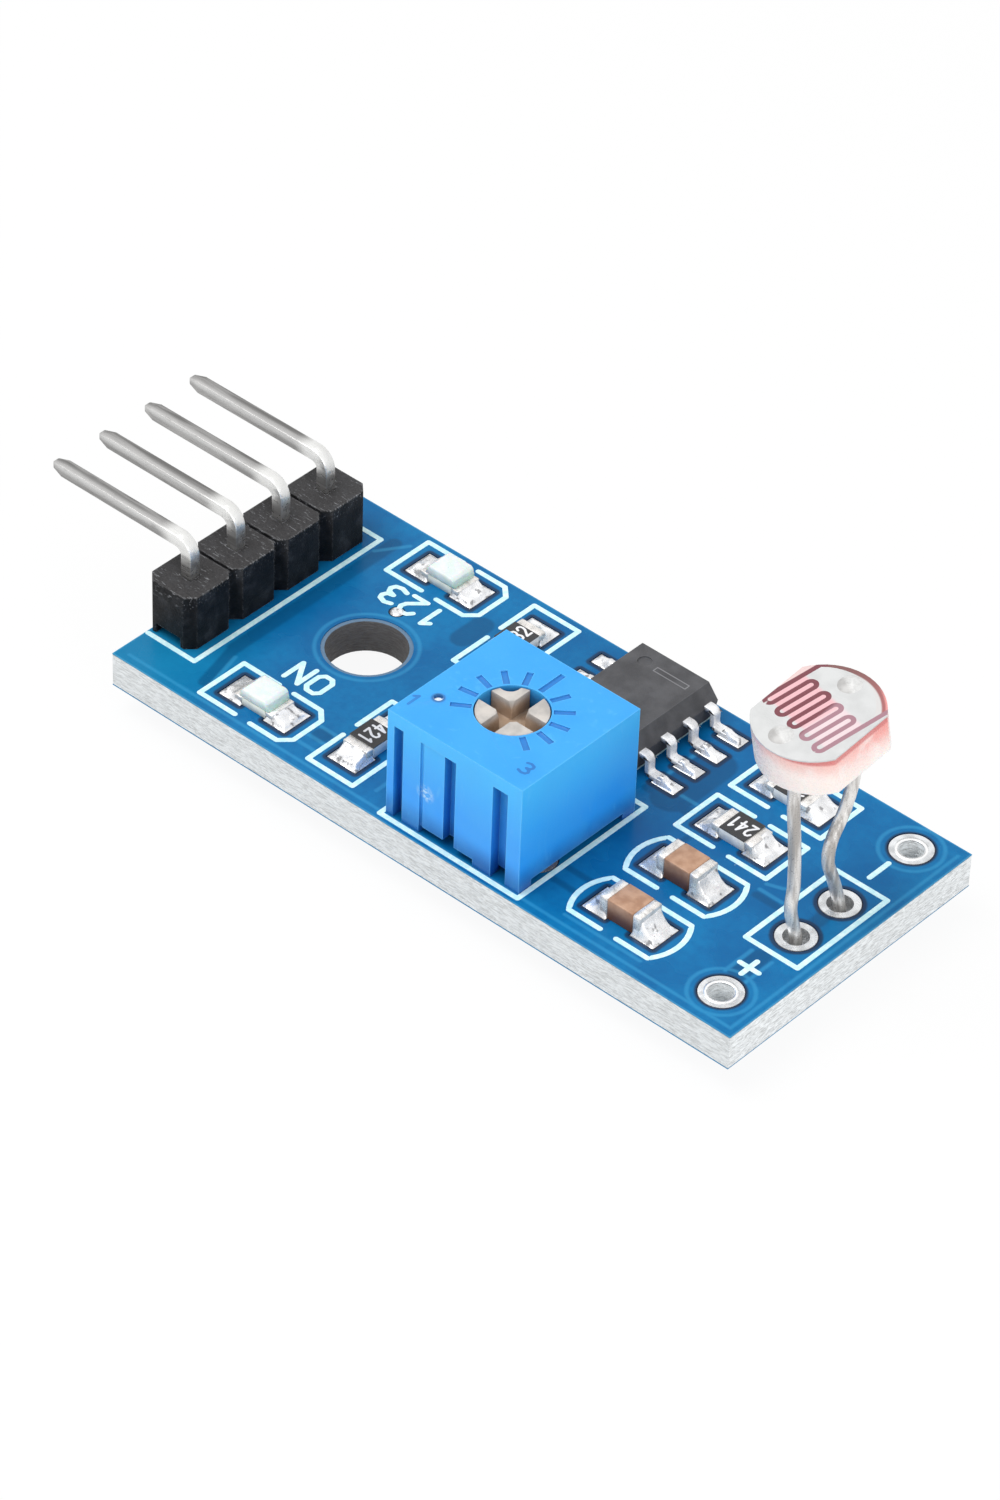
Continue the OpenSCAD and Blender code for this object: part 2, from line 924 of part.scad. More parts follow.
// The three deep grooves and the raised band between two of them
module side_grooves() {
    groove_top = trimmer_h - 0.62;
    for (g = [[0.34, 0.46], [2.85, 0.6], [5.29, 0.74]])
        translate([trimmer_left + g[0], trimmer_front - overcut, surface_z - overcut])
            cube([g[1], groove_depth + overcut, groove_top + overcut]);
    translate([trimmer_left + 1.67, trimmer_front - overcut, surface_z - overcut])
        cube([0.14, 0.08 + overcut, groove_top + overcut]);
    translate([trimmer_left + 1.81, trimmer_front - overcut, surface_z - overcut])
        cube([1.1, 0.05 + overcut, groove_top + overcut]);
}

// A sector of a ring, given its middle angle and half angle
module ring_sector(outer_r, inner_r, middle, half) {
    reach = 2 * outer_r;
    intersection() {
        ring(outer_r, inner_r);
        rotate(middle)
            polygon([
                [0, 0], [reach * cos(half), -reach * sin(half)],
                [reach * cos(half / 2), -reach * sin(half / 2)],
                [reach, 0], [reach * cos(half / 2), reach * sin(half / 2)],
                [reach * cos(half), reach * sin(half)]
            ]);
    }
}

module trimmer_housing() {
    color([0.2, 0.56, 0.86])
        difference() {
            translate([trimmer_x, trimmer_y, surface_z])
                centred_box(trimmer_l, trimmer_w, trimmer_h);
            difference() {
                translate([rotor_x, rotor_y, surface_z - overcut])
                    cylinder(h = cavity_top - surface_z + overcut, r = cavity_r, $fn = 64);
                translate([rotor_x, rotor_y, cavity_top - flange_t - 2 * rotor_fit])
                    linear_extrude(flange_t + 1)
                        ring_sector(cavity_r + 1, stop_in, -90, stop_half);
            }
            translate([rotor_x, rotor_y, cavity_top - overcut])
                cylinder(h = top_wall + 2 * overcut, d = rotor_d + 2 * rotor_fit, $fn = 64);
            side_grooves();
            difference() {
                translate([trimmer_x, trimmer_y, surface_z - overcut])
                    centred_box(trimmer_l + 1, trimmer_w + 1, foot_h + overcut);
                for (sx = [-1, 1])
                    for (sy = [-1, 1])
                        translate([
                            trimmer_x + sx * (trimmer_l - foot_side) / 2,
                            trimmer_y + sy * (trimmer_w - foot_side) / 2,
                            surface_z - 2 * overcut
                        ])
                            centred_box(foot_side, foot_side, foot_h + 2 * overcut);
                for (g = [[0.81, 0.85], [4.39, 0.9]])
                    translate([trimmer_left + g[0], trimmer_front, surface_z - 2 * overcut])
                        cube([g[1], 0.5, foot_h + 2 * overcut]);
            }
            for (k = [-tick_steps:tick_steps])
                translate([rotor_x, rotor_y, trimmer_top - tick_depth])
                    rotate(90 + tick_angle * k)
                        translate([tick_in, -tick_w / 2, 0])
                            cube([(k == 0 ? long_tick_out : tick_out) - tick_in, tick_w, 1]);
            translate([trimmer_left + 0.86, trimmer_front + 1.83, trimmer_top - 0.14])
                cylinder(h = 1, d = 0.36, $fn = small_fn);
            trimmer_pin_forms();
        }
}

// The rotor's turning part, with a flange and a stop lug below the top wall
module trimmer_rotor() {
    flange_top = cavity_top - rotor_fit;
    rotor_top = trimmer_top - rotor_sink;
    color([0.82, 0.78, 0.74])
        translate([rotor_x, rotor_y, 0])
            difference() {
                union() {
                    translate([0, 0, flange_top - flange_t])
                        cylinder(h = rotor_top - flange_top + flange_t, d = rotor_d, $fn = 64);
                    translate([0, 0, flange_top - flange_t])
                        cylinder(h = flange_t, r = flange_r, $fn = 64);
                    translate([0, 0, flange_top - flange_t])
                        linear_extrude(flange_t)
                            ring_sector(lug_r, flange_r - 0.4, 90, lug_half - 0.5);
                }
                for (a = [0, 90])
                    rotate(a)
                        translate([0, 0, rotor_top - slot_depth])
                            centred_box(rotor_d + 1, slot_w, slot_depth + 1);
                translate([0, 0, rotor_top - slot_depth])
                    cylinder(h = slot_depth + 0.01, r1 = 0.3, r2 = 0.62, $fn = small_fn);
                rotate(135)
                    translate([rotor_d / 2 + 0.18, 0, rotor_top - slot_depth])
                        cylinder(h = slot_depth + 1, d = 0.9, $fn = small_fn);
            }
}

// The sprung contact: a plate against the rotor and one foot that slides on the printed ring
module trimmer_wiper() {
    plate_z = cavity_top - rotor_fit - flange_t - wiper_t;
    foot_z = element_z + element_t + track_ring_t;
    foot_r = (track_ring_in + track_ring_out) / 2;
    color([0.8, 0.66, 0.36])
        translate([rotor_x, rotor_y, 0]) {
            translate([0, 0, plate_z])
                cylinder(h = wiper_t, r = wiper_r, $fn = round_fn);
            translate([0, -foot_r, foot_z])
                cylinder(h = plate_z - foot_z, d = wiper_foot_d, $fn = small_fn);
            translate([0, 0, foot_z - track_ring_t])
                cylinder(h = plate_z - foot_z + track_ring_t, d = wiper_hub_d, $fn = small_fn);
            translate([0, -foot_r / 2, plate_z - wiper_t])
                centred_box(wiper_hub_d - 0.1, foot_r, wiper_t);
        }
}

module trimmer_element() {
    color([0.9, 0.89, 0.86])
        translate([rotor_x, rotor_y, element_z])
            cylinder(h = element_t, r = cavity_r, $fn = 64);
}

module trimmer_track() {
    color([0.12, 0.12, 0.13])
        translate([rotor_x, rotor_y, element_z + element_t])
            linear_extrude(track_ring_t)
                ring_sector(track_ring_out, track_ring_in, -90, 130);
}

module trimmer_pin_forms() {
    for (p = trimmer_pins_at)
        translate([p[0], p[1], -stub_l])
            cylinder(h = element_z + stub_l, d = trimmer_pin_d, $fn = small_fn);
}

module trimmer_seal() {
    color([0.75, 0.72, 0.62])
        difference() {
            translate([rotor_x, rotor_y, surface_z + foot_h])
                cylinder(h = element_z - surface_z - foot_h, r = cavity_r, $fn = 64);
            trimmer_pin_forms();
        }
}

module trimmer_pins() {
    color([0.83, 0.83, 0.85])
        trimmer_pin_forms();
}

module trimmer_solder() {
    color([0.8, 0.81, 0.83])
        difference() {
            at_points(trimmer_pins_at)
                joint_form(
                    trimmer_pad_d, trimmer_hole_d, stub_l - trimmer_stub_free,
                    board_t * 0.8, trimmer_pin_d / 2 + 0.03
                );
            trimmer_pin_forms();
        }
}

// Photoresistor

// Puts its children in the disc's own frame: origin in the middle of its face, +Z out of the face
module on_disc() {
    translate([disc_x, artwork_y, surface_z + disc_face_h])
        rotate([disc_lean, disc_tip, disc_turn])
            children();
}

module disc_outline() {
    intersection() {
        circle(d = disc_d, $fn = 96);
        square([disc_flat_w, disc_d + 1], center = true);
    }
}

// Height of the middle of a bend on the face: the even bends are the lower ones
function bend_y(b) = track_mid - (b + 0.5) * track_drop + (b % 2 == 0 ? -track_half : track_half);

// The lines of the track, whose first one covers the face out to the flat and whose last one runs to the rim
module track_lines() {
    turn_r = track_pitch / 2;
    rotate(track_turn) {
        translate([-disc_d / 2, bend_y(0)])
            square([disc_d / 2 + track_x0, disc_d]);
        for (i = [0:track_n - 1]) {
            low = bend_y(2 * floor(i / 2));
            high = i == 0 || i == track_n - 1 ? disc_d / 2 : bend_y(2 * floor((i + 1) / 2) - 1);
            translate([track_x0 + i * track_pitch - track_w / 2, low])
                square([track_w, high - low]);
        }
        for (b = [0:track_n - 2])
            translate([track_x0 + (b + 0.5) * track_pitch, bend_y(b)])
                intersection() {
                    ring(turn_r + track_w / 2, turn_r - track_w / 2);
                    translate([-1, b % 2 == 0 ? -1 : 0])
                        square([2, 1]);
                }
    }
}

module sensor_track() {
    color([0.6, 0.3, 0.34])
        on_disc()
            translate([0, 0, -film_t])
                linear_extrude(film_t)
                    intersection() {
                        disc_outline();
                        union() {
                            track_lines();
                            difference() {
                                upper_area();
                                comb_disc();
                            }
                        }
                    }
}

module comb_disc() {
    translate(comb_at)
        circle(r = comb_r, $fn = 96);
}

// The area above the winding track, which the right comb covers; the left comb takes the rest.
// Its edge runs under the track all the way.
module upper_area() {
    under = 0.45 * track_pitch;
    rotate(track_turn)
        for (b = [0:track_n - 2])
            translate([track_x0 + b * track_pitch, bend_y(b) + (b % 2 == 0 ? -under : under)])
                square([track_pitch, disc_d]);
}

module sensor_electrode_right() {
    color([0.86, 0.84, 0.8])
        on_disc()
            translate([0, 0, -film_t])
                linear_extrude(film_t)
                    difference() {
                        intersection() {
                            upper_area();
                            comb_disc();
                        }
                        track_lines();
                    }
}

module sensor_electrode_left() {
    color([0.86, 0.84, 0.8])
        on_disc()
            translate([0, 0, -film_t])
                linear_extrude(film_t)
                    difference() {
                        disc_outline();
                        upper_area();
                        track_lines();
                    }
}

// Two low domes on the face, over the ends of the legs
module sensor_contacts() {
    base_r = contact_d / 2;
    dome_r = (base_r * base_r + contact_h * contact_h) / (2 * contact_h);
    half_angle = asin(base_r / dome_r);
    steps = 6;
    arc = [for (k = [steps:-1:0]) let (a = half_angle * k / steps)
        [dome_r * sin(a), contact_h - dome_r + dome_r * cos(a)]];
    color([0.8, 0.8, 0.82])
        on_disc()
            at_points(contact_points)
                rotate_extrude($fn = round_fn)
                    polygon(concat([[0, 0]], arc));
}

// A point of the disc's frame in the frame of the part
function from_disc(p) =
    let (a = [
        p[0],
        p[1] * cos(disc_lean) - p[2] * sin(disc_lean),
        p[1] * sin(disc_lean) + p[2] * cos(disc_lean)
    ])
    let (b = [a[0] * cos(disc_tip) + a[2] * sin(disc_tip), a[1], a[2] * cos(disc_tip) - a[0] * sin(disc_tip)])
    [
        disc_x + b[0] * cos(disc_turn) - b[1] * sin(disc_turn),
        artwork_y + b[0] * sin(disc_turn) + b[1] * cos(disc_turn),
        surface_z + disc_face_h + b[2]
    ];

// A bend of a leg: its place from the middle of the two pads, and its share of the way up to the disc
function leg_bend(x, y, share) = [sensor_x + x, artwork_y + y, surface_z + share * (disc_face_h - disc_t)];

// The straight foot of a leg in its hole, from the lower end up to the board's surface
function leg_foot(i) = [for (z = [-stub_l, surface_z]) [sensor_points[i][0], sensor_points[i][1], z]];

// The straight head of a leg, from just below the disc up into it
function leg_head(side) = [for (z = [-0.5, wire_seat]) from_disc([0.1, side * wire_gap_top / 2, z - disc_t])];

wire_1 = concat(
    leg_foot(0),
    [
        leg_bend(-0.16, -1.52, 0.173), leg_bend(-0.24, -1.34, 0.3), leg_bend(-0.36, -1.3, 0.517),
        leg_bend(-0.48, -1.38, 0.746)
    ],
    leg_head(-1)
);
wire_2 = concat(
    leg_foot(1),
    [
        leg_bend(-0.12, 0.84, 0.186), leg_bend(-0.18, 0.56, 0.3), leg_bend(-0.24, 0.74, 0.415),
        leg_bend(-0.3, 1.5, 0.555), leg_bend(-0.36, 1.95, 0.721)
    ],
    leg_head(1)
);

// Straight lengths of wire with a round knuckle at every bend, a little thicker than the wire
module wire_path(points) {
    for (i = [0:len(points) - 2])
        wire(points[i], points[i + 1], wire_d);
    for (i = [1:len(points) - 2])
        translate(points[i])
            sphere(d = wire_d * 1.04, $fn = small_fn);
}

module sensor_lead_1() {
    color([0.75, 0.75, 0.76])
        wire_path(wire_1);
}

module sensor_lead_2() {
    color([0.75, 0.75, 0.76])
        wire_path(wire_2);
}

module sensor_disc() {
    color([0.93, 0.8, 0.77])
        difference() {
            on_disc()
                translate([0, 0, -disc_t])
                    linear_extrude(disc_t - film_t)
                        disc_outline();
            wire_path(wire_1);
            wire_path(wire_2);
        }
}

module sensor_solder() {
    color([0.8, 0.81, 0.83])
        difference() {
            at_points(sensor_points)
                joint_form(
                    sensor_pad_d, sensor_hole_d, stub_l - sensor_stub_free,
                    board_t * 0.4, wire_d / 2 + 0.03
                );
            wire_path(wire_1);
            wire_path(wire_2);
        }
}

module via_solder() {
    color([0.86, 0.86, 0.88])
        translate([via_x, via_y, 0]) {
            cylinder(h = surface_z, d = via_hole_d, $fn = small_fn);
            translate([0, 0, surface_z])
                cylinder(h = via_dome_h, r1 = via_d / 2, r2 = via_d / 2 - 0.08, $fn = small_fn);
        }
}

circuit_board();
solder_mask_top();
solder_mask_bottom();
copper_pads();
legend_print();
header_block();
header_pin(pin_rows[0]);  // header_pin_1
header_pin(pin_rows[1]);  // header_pin_2
header_pin(pin_rows[2]);  // header_pin_3
header_pin(pin_rows[3]);  // header_pin_4
header_solder();
power_led_base();
power_led_lens();
power_led_terminals();
output_led_base();
output_led_lens();
output_led_terminals();
light_dies();
resistor_bodies();
resistor_coats();
resistor_terminals();
capacitor_bodies();
capacitor_terminals();
surface_solder();
chip_body();
chip_leads();
trimmer_housing();
trimmer_rotor();
trimmer_wiper();
trimmer_element();
trimmer_track();
trimmer_seal();
trimmer_pins();
trimmer_solder();
sensor_disc();
sensor_track();
sensor_electrode_left();
sensor_electrode_right();
sensor_contacts();
sensor_lead_1();
sensor_lead_2();
sensor_solder();
via_solder();
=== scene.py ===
"""Looks of the light sensor module: materials, solder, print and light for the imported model."""
import math
import random

import bpy
from mathutils import Matrix, Vector, noise

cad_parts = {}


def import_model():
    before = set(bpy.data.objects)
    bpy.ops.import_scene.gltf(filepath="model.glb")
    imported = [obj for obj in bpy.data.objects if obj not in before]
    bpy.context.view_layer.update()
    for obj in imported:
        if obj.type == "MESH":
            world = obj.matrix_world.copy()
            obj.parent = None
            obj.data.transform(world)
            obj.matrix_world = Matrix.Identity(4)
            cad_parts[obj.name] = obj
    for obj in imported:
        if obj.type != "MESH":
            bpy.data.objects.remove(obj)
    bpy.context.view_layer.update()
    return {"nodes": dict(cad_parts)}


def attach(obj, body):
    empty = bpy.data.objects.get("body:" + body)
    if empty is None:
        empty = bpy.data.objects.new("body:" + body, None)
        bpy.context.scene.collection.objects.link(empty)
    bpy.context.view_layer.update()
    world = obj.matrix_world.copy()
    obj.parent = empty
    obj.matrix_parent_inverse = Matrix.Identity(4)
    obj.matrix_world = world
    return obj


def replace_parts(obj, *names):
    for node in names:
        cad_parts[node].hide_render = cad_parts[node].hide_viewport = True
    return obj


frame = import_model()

MM = 0.001


# Places on the board, in millimetres of the part's frame
TOP = 1.54
CHIP_X = 17.78
CHIP_ROWS = [-4.77, -1.59, 1.59, 4.77]
CROSS = [(4.12, -4.1), (4.12, 4.1)]
LIGHTS = [(-0.46, -5.27), (-0.46, 5.27)]
PACKAGE = (10.6, 3.82)
TRIMMER_TOP = 6.59
CHIP_TOP = 3.13
COAT_TOP = 2.06
RESISTORS = [((17.78, 1.59), (-1.0, 0.0), (0.0, -1.0)), ((17.78, 4.77), (-1.0, 0.0), (0.0, -1.0)),
             ((4.12, 4.1), (0.0, 1.0), (-1.0, 0.0)), ((4.12, -4.1), (0.0, -1.0), (1.0, 0.0))]
DIMPLE = (8.07, -4.85)
SHEEN = (9.16, -6.68, 3.61)

# node helpers


class Shader:
    """A material under construction, with short calls for the nodes used here."""

    def __init__(self, name):
        self.mat = bpy.data.materials.new(name)
        self.mat.use_nodes = True
        self.tree = self.mat.node_tree
        self.bsdf = self.tree.nodes["Principled BSDF"]
        self.out = self.tree.nodes["Material Output"]
        self._place = None
        self._flat = None

    def node(self, kind, **settings):
        made = self.tree.nodes.new(kind)
        for key, value in settings.items():
            setattr(made, key, value)
        return made

    def feed(self, socket, value):
        if isinstance(value, bpy.types.NodeSocket):
            self.tree.links.new(value, socket)
        elif isinstance(value, tuple) and len(value) == 3 and socket.type == "RGBA":
            socket.default_value = (*value, 1.0)
        else:
            socket.default_value = value

    def place(self):
        """Position in millimetres."""
        if self._place is None:
            coord = self.node("ShaderNodeTexCoord")
            scale = self.node("ShaderNodeVectorMath", operation="SCALE")
            self.feed(scale.inputs[0], coord.outputs["Object"])
            self.feed(scale.inputs["Scale"], 1000.0)
            self._place = scale.outputs[0]
        return self._place

    def stretched(self, x, y, z):
        mul = self.node("ShaderNodeVectorMath", operation="MULTIPLY")
        self.feed(mul.inputs[0], self.place())
        self.feed(mul.inputs[1], (x, y, z))
        return mul.outputs[0]

    def noise(self, scale, detail=3.0, rough=0.55, vector=None, distortion=0.0):
        made = self.node("ShaderNodeTexNoise")
        self.feed(made.inputs["Vector"], vector or self.place())
        self.feed(made.inputs["Scale"], scale)
        self.feed(made.inputs["Detail"], detail)
        self.feed(made.inputs["Roughness"], rough)
        self.feed(made.inputs["Distortion"], distortion)
        return made.outputs["Fac"]

    def cells(self, scale, vector=None, feature="F1"):
        made = self.node("ShaderNodeTexVoronoi", feature=feature)
        self.feed(made.inputs["Vector"], vector or self.place())
        self.feed(made.inputs["Scale"], scale)
        return made.outputs["Distance"]

    def ramp(self, value, low, high, to_low=0.0, to_high=1.0, smooth=True):
        made = self.node("ShaderNodeMapRange")
        made.interpolation_type = "SMOOTHSTEP" if smooth else "LINEAR"
        self.feed(made.inputs["Value"], value)
        self.feed(made.inputs["From Min"], low)
        self.feed(made.inputs["From Max"], high)
        self.feed(made.inputs["To Min"], to_low)
        self.feed(made.inputs["To Max"], to_high)
        return made.outputs["Result"]

    def math(self, operation, a, b=0.0):
        made = self.node("ShaderNodeMath", operation=operation)
        self.feed(made.inputs[0], a)
        self.feed(made.inputs[1], b)
        return made.outputs[0]

    def mix(self, factor, a, b):
        made = self.node("ShaderNodeMix", data_type="RGBA")
        self.feed(made.inputs["Factor"], factor)
        self.feed(made.inputs["A"], a)
        self.feed(made.inputs["B"], b)
        return made.outputs["Result"]

    def vector(self, operation, a, b=(0.0, 0.0, 0.0)):
        made = self.node("ShaderNodeVectorMath", operation=operation)
        self.feed(made.inputs[0], a)
        self.feed(made.inputs[1], b)
        return made.outputs["Value"] if operation in ("LENGTH", "DOT_PRODUCT") else made.outputs[0]

    def flat(self):
        """Position on the board, without its height."""
        if self._flat is None:
            self._flat = self.stretched(1.0, 1.0, 0.0)
        return self._flat

    def boxes(self, centre, spreads, half):
        """Distance from a symmetric group of rectangles: each spread doubles the group about its middle."""
        away = self.vector("SUBTRACT", self.flat(), (*centre, 0.0))
        for spread in spreads:
            away = self.vector("SUBTRACT", self.vector("ABSOLUTE", away), (*spread, 0.0))
        away = self.vector("SUBTRACT", self.vector("ABSOLUTE", away), (*half, 0.0))
        return self.vector("LENGTH", self.vector("MAXIMUM", away))

    def segment(self, start, end, half):
        """Distance from a straight strip of the given half width."""
        run = Vector((end[0] - start[0], end[1] - start[1], 0.0))
        away = self.vector("SUBTRACT", self.flat(), (*start, 0.0))
        share = self.node("ShaderNodeClamp")
        self.feed(share.inputs["Value"], self.vector("DOT_PRODUCT", away, tuple(run / run.length_squared)))
        foot = self.node("ShaderNodeVectorMath", operation="SCALE")
        self.feed(foot.inputs[0], tuple(run))
        self.feed(foot.inputs["Scale"], share.outputs[0])
        distance = self.vector("LENGTH", self.vector("SUBTRACT", away, foot.outputs[0]))
        return self.math("SUBTRACT", distance, half)

    def nearest(self, distances):
        found = distances[0]
        for other in distances[1:]:
            found = self.math("MINIMUM", found, other)
        return found

    def axis(self, index):
        made = self.node("ShaderNodeSeparateXYZ")
        self.feed(made.inputs[0], self.place())
        return made.outputs[index]

    def upward(self):
        """1 on faces that look up, 0 on walls."""
        made = self.node("ShaderNodeSeparateXYZ")
        self.feed(made.inputs[0], self.node("ShaderNodeNewGeometry").outputs["Normal"])
        return self.ramp(made.outputs[2], 0.4, 0.8)

    def edge(self, radius, low=0.0, high=0.25):
        """1 at convex and concave edges, 0 on open faces."""
        bevel = self.node("ShaderNodeBevel", samples=4)
        self.feed(bevel.inputs["Radius"], radius * MM)
        geometry = self.node("ShaderNodeNewGeometry")
        dot = self.node("ShaderNodeVectorMath", operation="DOT_PRODUCT")
        self.feed(dot.inputs[0], bevel.outputs[0])
        self.feed(dot.inputs[1], geometry.outputs["Normal"])
        return self.ramp(self.math("SUBTRACT", 1.0, dot.outputs["Value"]), low, high)

    def hollow(self, distance, low=0.35, high=0.9):
        """0 in tight hollows, 1 in the open."""
        made = self.node("ShaderNodeAmbientOcclusion", samples=4)
        self.feed(made.inputs["Distance"], distance * MM)
        return self.ramp(made.outputs["AO"], low, high)

    def bump(self, height, distance, strength=1.0):
        made = self.node("ShaderNodeBump")
        self.feed(made.inputs["Height"], height)
        self.feed(made.inputs["Distance"], distance * MM)
        self.feed(made.inputs["Strength"], strength)
        self.feed(self.bsdf.inputs["Normal"], made.outputs[0])
        return made.outputs[0]

    def set(self, **values):
        for key, value in values.items():
            self.feed(self.bsdf.inputs[key.replace("_", " ")], value)
        return self


def lin(r, g, b):
    """A colour written as 0-255 screen values."""
    def one(v):
        v /= 255.0
        return v / 12.92 if v <= 0.04045 else ((v + 0.055) / 1.055) ** 2.4
    return (one(r), one(g), one(b))


# materials

# Copper under the lacquer: strips from point to point with a half width, in board millimetres
DEEP_STRIPS = [
    ((-3.65, -3.6), (-3.65, 5.5), 0.3), ((-3.65, -3.6), (-3.05, -5.9), 0.25), ((2.4, -5.1), (2.4, -5.1001), 0.4),
    ((2.3, 3.0), (2.3, 4.1), 0.5), ((14.4, 1.5), (14.4, 4.0), 0.85), ((13.4, 1.3), (15.4, 1.3), 0.25),
    ((14.2, -4.25), (15.3, -4.25), 0.14), ((14.2, -5.1), (15.3, -5.1), 0.14), ((16.35, -0.2), (16.35, 0.1), 0.14),
    ((20.3, -0.52), (21.3, -0.52), 0.17), ((22.65, -4.3), (22.65, -3.0), 0.38), ((22.9, -0.3), (22.9, 0.3), 0.3),
]
PALE_STRIPS = [
    ((-6.3, -6.75), (24.35, -6.75), 0.035), ((24.35, -6.75), (24.35, 6.4), 0.035), ((-3.1, 5.8), (-3.9, 4.6), 0.05),
    ((2.0, -4.72), (2.85, -4.72), 0.05), ((2.0, -5.4), (2.85, -5.4), 0.05), ((2.0, -5.95), (2.85, -5.95), 0.05),
    ((13.4, 2.3), (13.4, 4.3), 0.05), ((14.5, 1.82), (15.4, 1.82), 0.05), ((20.2, -0.2), (21.3, -0.2), 0.05),
    ((20.2, 0.2), (20.8, 0.42), 0.05), ((20.8, 0.42), (21.3, 0.85), 0.05), ((22.18, -4.5), (22.18, -3.0), 0.05),
    ((23.15, -4.5), (23.15, -3.0), 0.04), ((-3.25, -4.0), (-2.75, -5.9), 0.05), ((6.1, -6.0), (6.1, -2.2), 0.05),
    ((15.9, -6.3), (19.6, -6.3), 0.04),
]


def lacquer(name, upper):
    """Blue lacquer; on the upper face the copper under it and the dark seams round the pads show."""
    m = Shader(name)
    broad = m.noise(0.35, 3.0, 0.5)
    weave = m.noise(3.2, 2.0, 0.5, m.stretched(1.0, 1.0, 0.2))
    base = m.mix(m.ramp(broad, 0.3, 0.7), lin(5, 96, 153), lin(15, 115, 170))
    base = m.mix(m.ramp(weave, 0.35, 0.75, 0.0, 0.3), base, lin(6, 88, 146))
    specks = m.ramp(m.noise(9.0, 2.0, 0.5), 0.7, 0.8, 0.0, 0.3)
    base = m.mix(specks, base, lin(60, 146, 198))
    dust = m.math("MULTIPLY", m.ramp(m.cells(0.7), 0.025, 0.05, 1.0, 0.0), m.ramp(m.noise(0.9, 2.0), 0.5, 0.6))
    base = m.mix(m.math("MULTIPLY", dust, 0.7), base, lin(206, 230, 240))
    corners = m.boxes((22.84, 0.0), [(0.0, 5.5)], (0.0, 0.0))
    relief = m.ramp(corners, 0.9, 1.0)
    if upper:
        # painted sheen: lighter blue lacquer fading out from the board's corner at (-6.4, -6.6)
        corner_sheen_reach = m.vector("LENGTH", m.vector("SUBTRACT", m.flat(), (-6.4, -6.6, 0.0)))
        base = m.mix(m.ramp(corner_sheen_reach, 1.0, 6.5, 0.6, 0.0), base, lin(26, 132, 174))
        deep = m.nearest([m.segment(*strip) for strip in DEEP_STRIPS])
        base = m.mix(m.ramp(deep, -0.08, 0.1, 0.6, 0.0), base, lin(6, 72, 116))
        pale = m.nearest([m.segment(*strip) for strip in PALE_STRIPS])
        ring = m.math("SUBTRACT", m.math("ABSOLUTE", m.math("SUBTRACT", m.vector("LENGTH", m.flat()), 2.05)), 0.04)
        arc = m.math("SUBTRACT", m.math("ABSOLUTE", m.math("SUBTRACT", corners, 1.27)), 0.04)
        pale = m.nearest([pale, ring, arc])
        base = m.mix(m.ramp(pale, -0.02, 0.1, 0.38, 0.0), base, lin(60, 158, 206))
        pads = m.nearest([
            m.boxes((CHIP_X, 0.0), [(1.18, 3.18), (0.0, 1.59)], (0.56, 0.725)),
            m.boxes((CROSS[0][0], 0.0), [(0.0, 4.1), (0.0, 1.18)], (0.725, 0.56)),
            m.boxes((LIGHTS[0][0], 0.0), [(1.18, 5.27)], (0.56, 0.725)),
            m.boxes(PACKAGE, [(3.2, 1.27), (0.0, 0.635)], (0.55, 0.31)),
            m.math("SUBTRACT", corners, 0.8),
            m.math("SUBTRACT", m.boxes((22.86, 0.0), [(0.0, 1.27)], (0.0, 0.0)), 0.81),
        ])
        base = m.mix(m.ramp(pads, 0.14, 0.26, 0.85, 0.0), base, lin(28, 44, 70))
        relief = m.ramp(m.math("MINIMUM", pads, deep), 0.0, 0.14)
    # painted highlight: lighter blue along the outer edge of the board
    rim = m.boxes((8.92, -0.15), [], (15.65, 6.9))
    base = m.mix(m.ramp(rim, 0.02, 0.1, 0.0, 0.4), base, lin(90, 176, 214))
    m.set(Base_Color=base, Roughness=m.ramp(broad, 0.3, 0.8, 0.24, 0.38), Coat_Weight=0.03, Coat_Roughness=0.14)
    m.feed(m.bsdf.inputs["Specular IOR Level"], 0.14)
    m.bump(m.math("ADD", m.math("MULTIPLY", m.math("ADD", weave, relief), 0.6), m.noise(22.0, 2.0)), 0.006, 0.6)
    return m.mat


def laminate():
    """The pale cut edges, the mounting hole's wall in a dark brown-grey of painted shade, and the dark faces in the
    lacquer's gaps.
    """
    m = Shader("laminate_cut")
    fibres = m.noise(5.0, 4.0, 0.7, m.stretched(0.55, 0.55, 3.4), 0.6)
    strands = m.noise(9.0, 3.0, 0.6, m.stretched(0.35, 0.35, 4.5))
    speck = m.cells(5.5, m.stretched(1.0, 1.0, 2.4))
    base = m.mix(m.ramp(fibres, 0.36, 0.6), lin(196, 199, 200), lin(246, 250, 252))
    base = m.mix(m.ramp(strands, 0.58, 0.72, 0.0, 0.45), base, lin(150, 150, 146))
    base = m.mix(m.ramp(speck, 0.0, 0.12, 0.35, 0.0), base, lin(120, 118, 114))
    base = m.mix(m.ramp(m.axis(1), -7.14, -7.1, 0.3, 0.0), base, lin(192, 196, 197))
    reach = m.vector("LENGTH", m.flat())
    # painted shade: the wall of the mounting hole is darkened to brown-grey
    base = m.mix(m.ramp(reach, 1.9, 2.0, 0.9, 0.0), base, lin(62, 56, 54))
    height = m.axis(2)
    face = m.math("MAXIMUM", m.ramp(height, 1.485, 1.495), m.ramp(height, 0.005, 0.015, 1.0, 0.0))
    gap = m.mix(m.ramp(reach, 1.9, 2.0), lin(96, 124, 150), lin(30, 38, 60))
    base = m.mix(face, base, gap)
    m.set(Base_Color=base, Roughness=m.ramp(strands, 0.3, 0.7, 0.55, 0.85))
    m.bump(m.math("ADD", fibres, m.math("MULTIPLY", speck, 0.7)), 0.04, 0.7)
    return m.mat


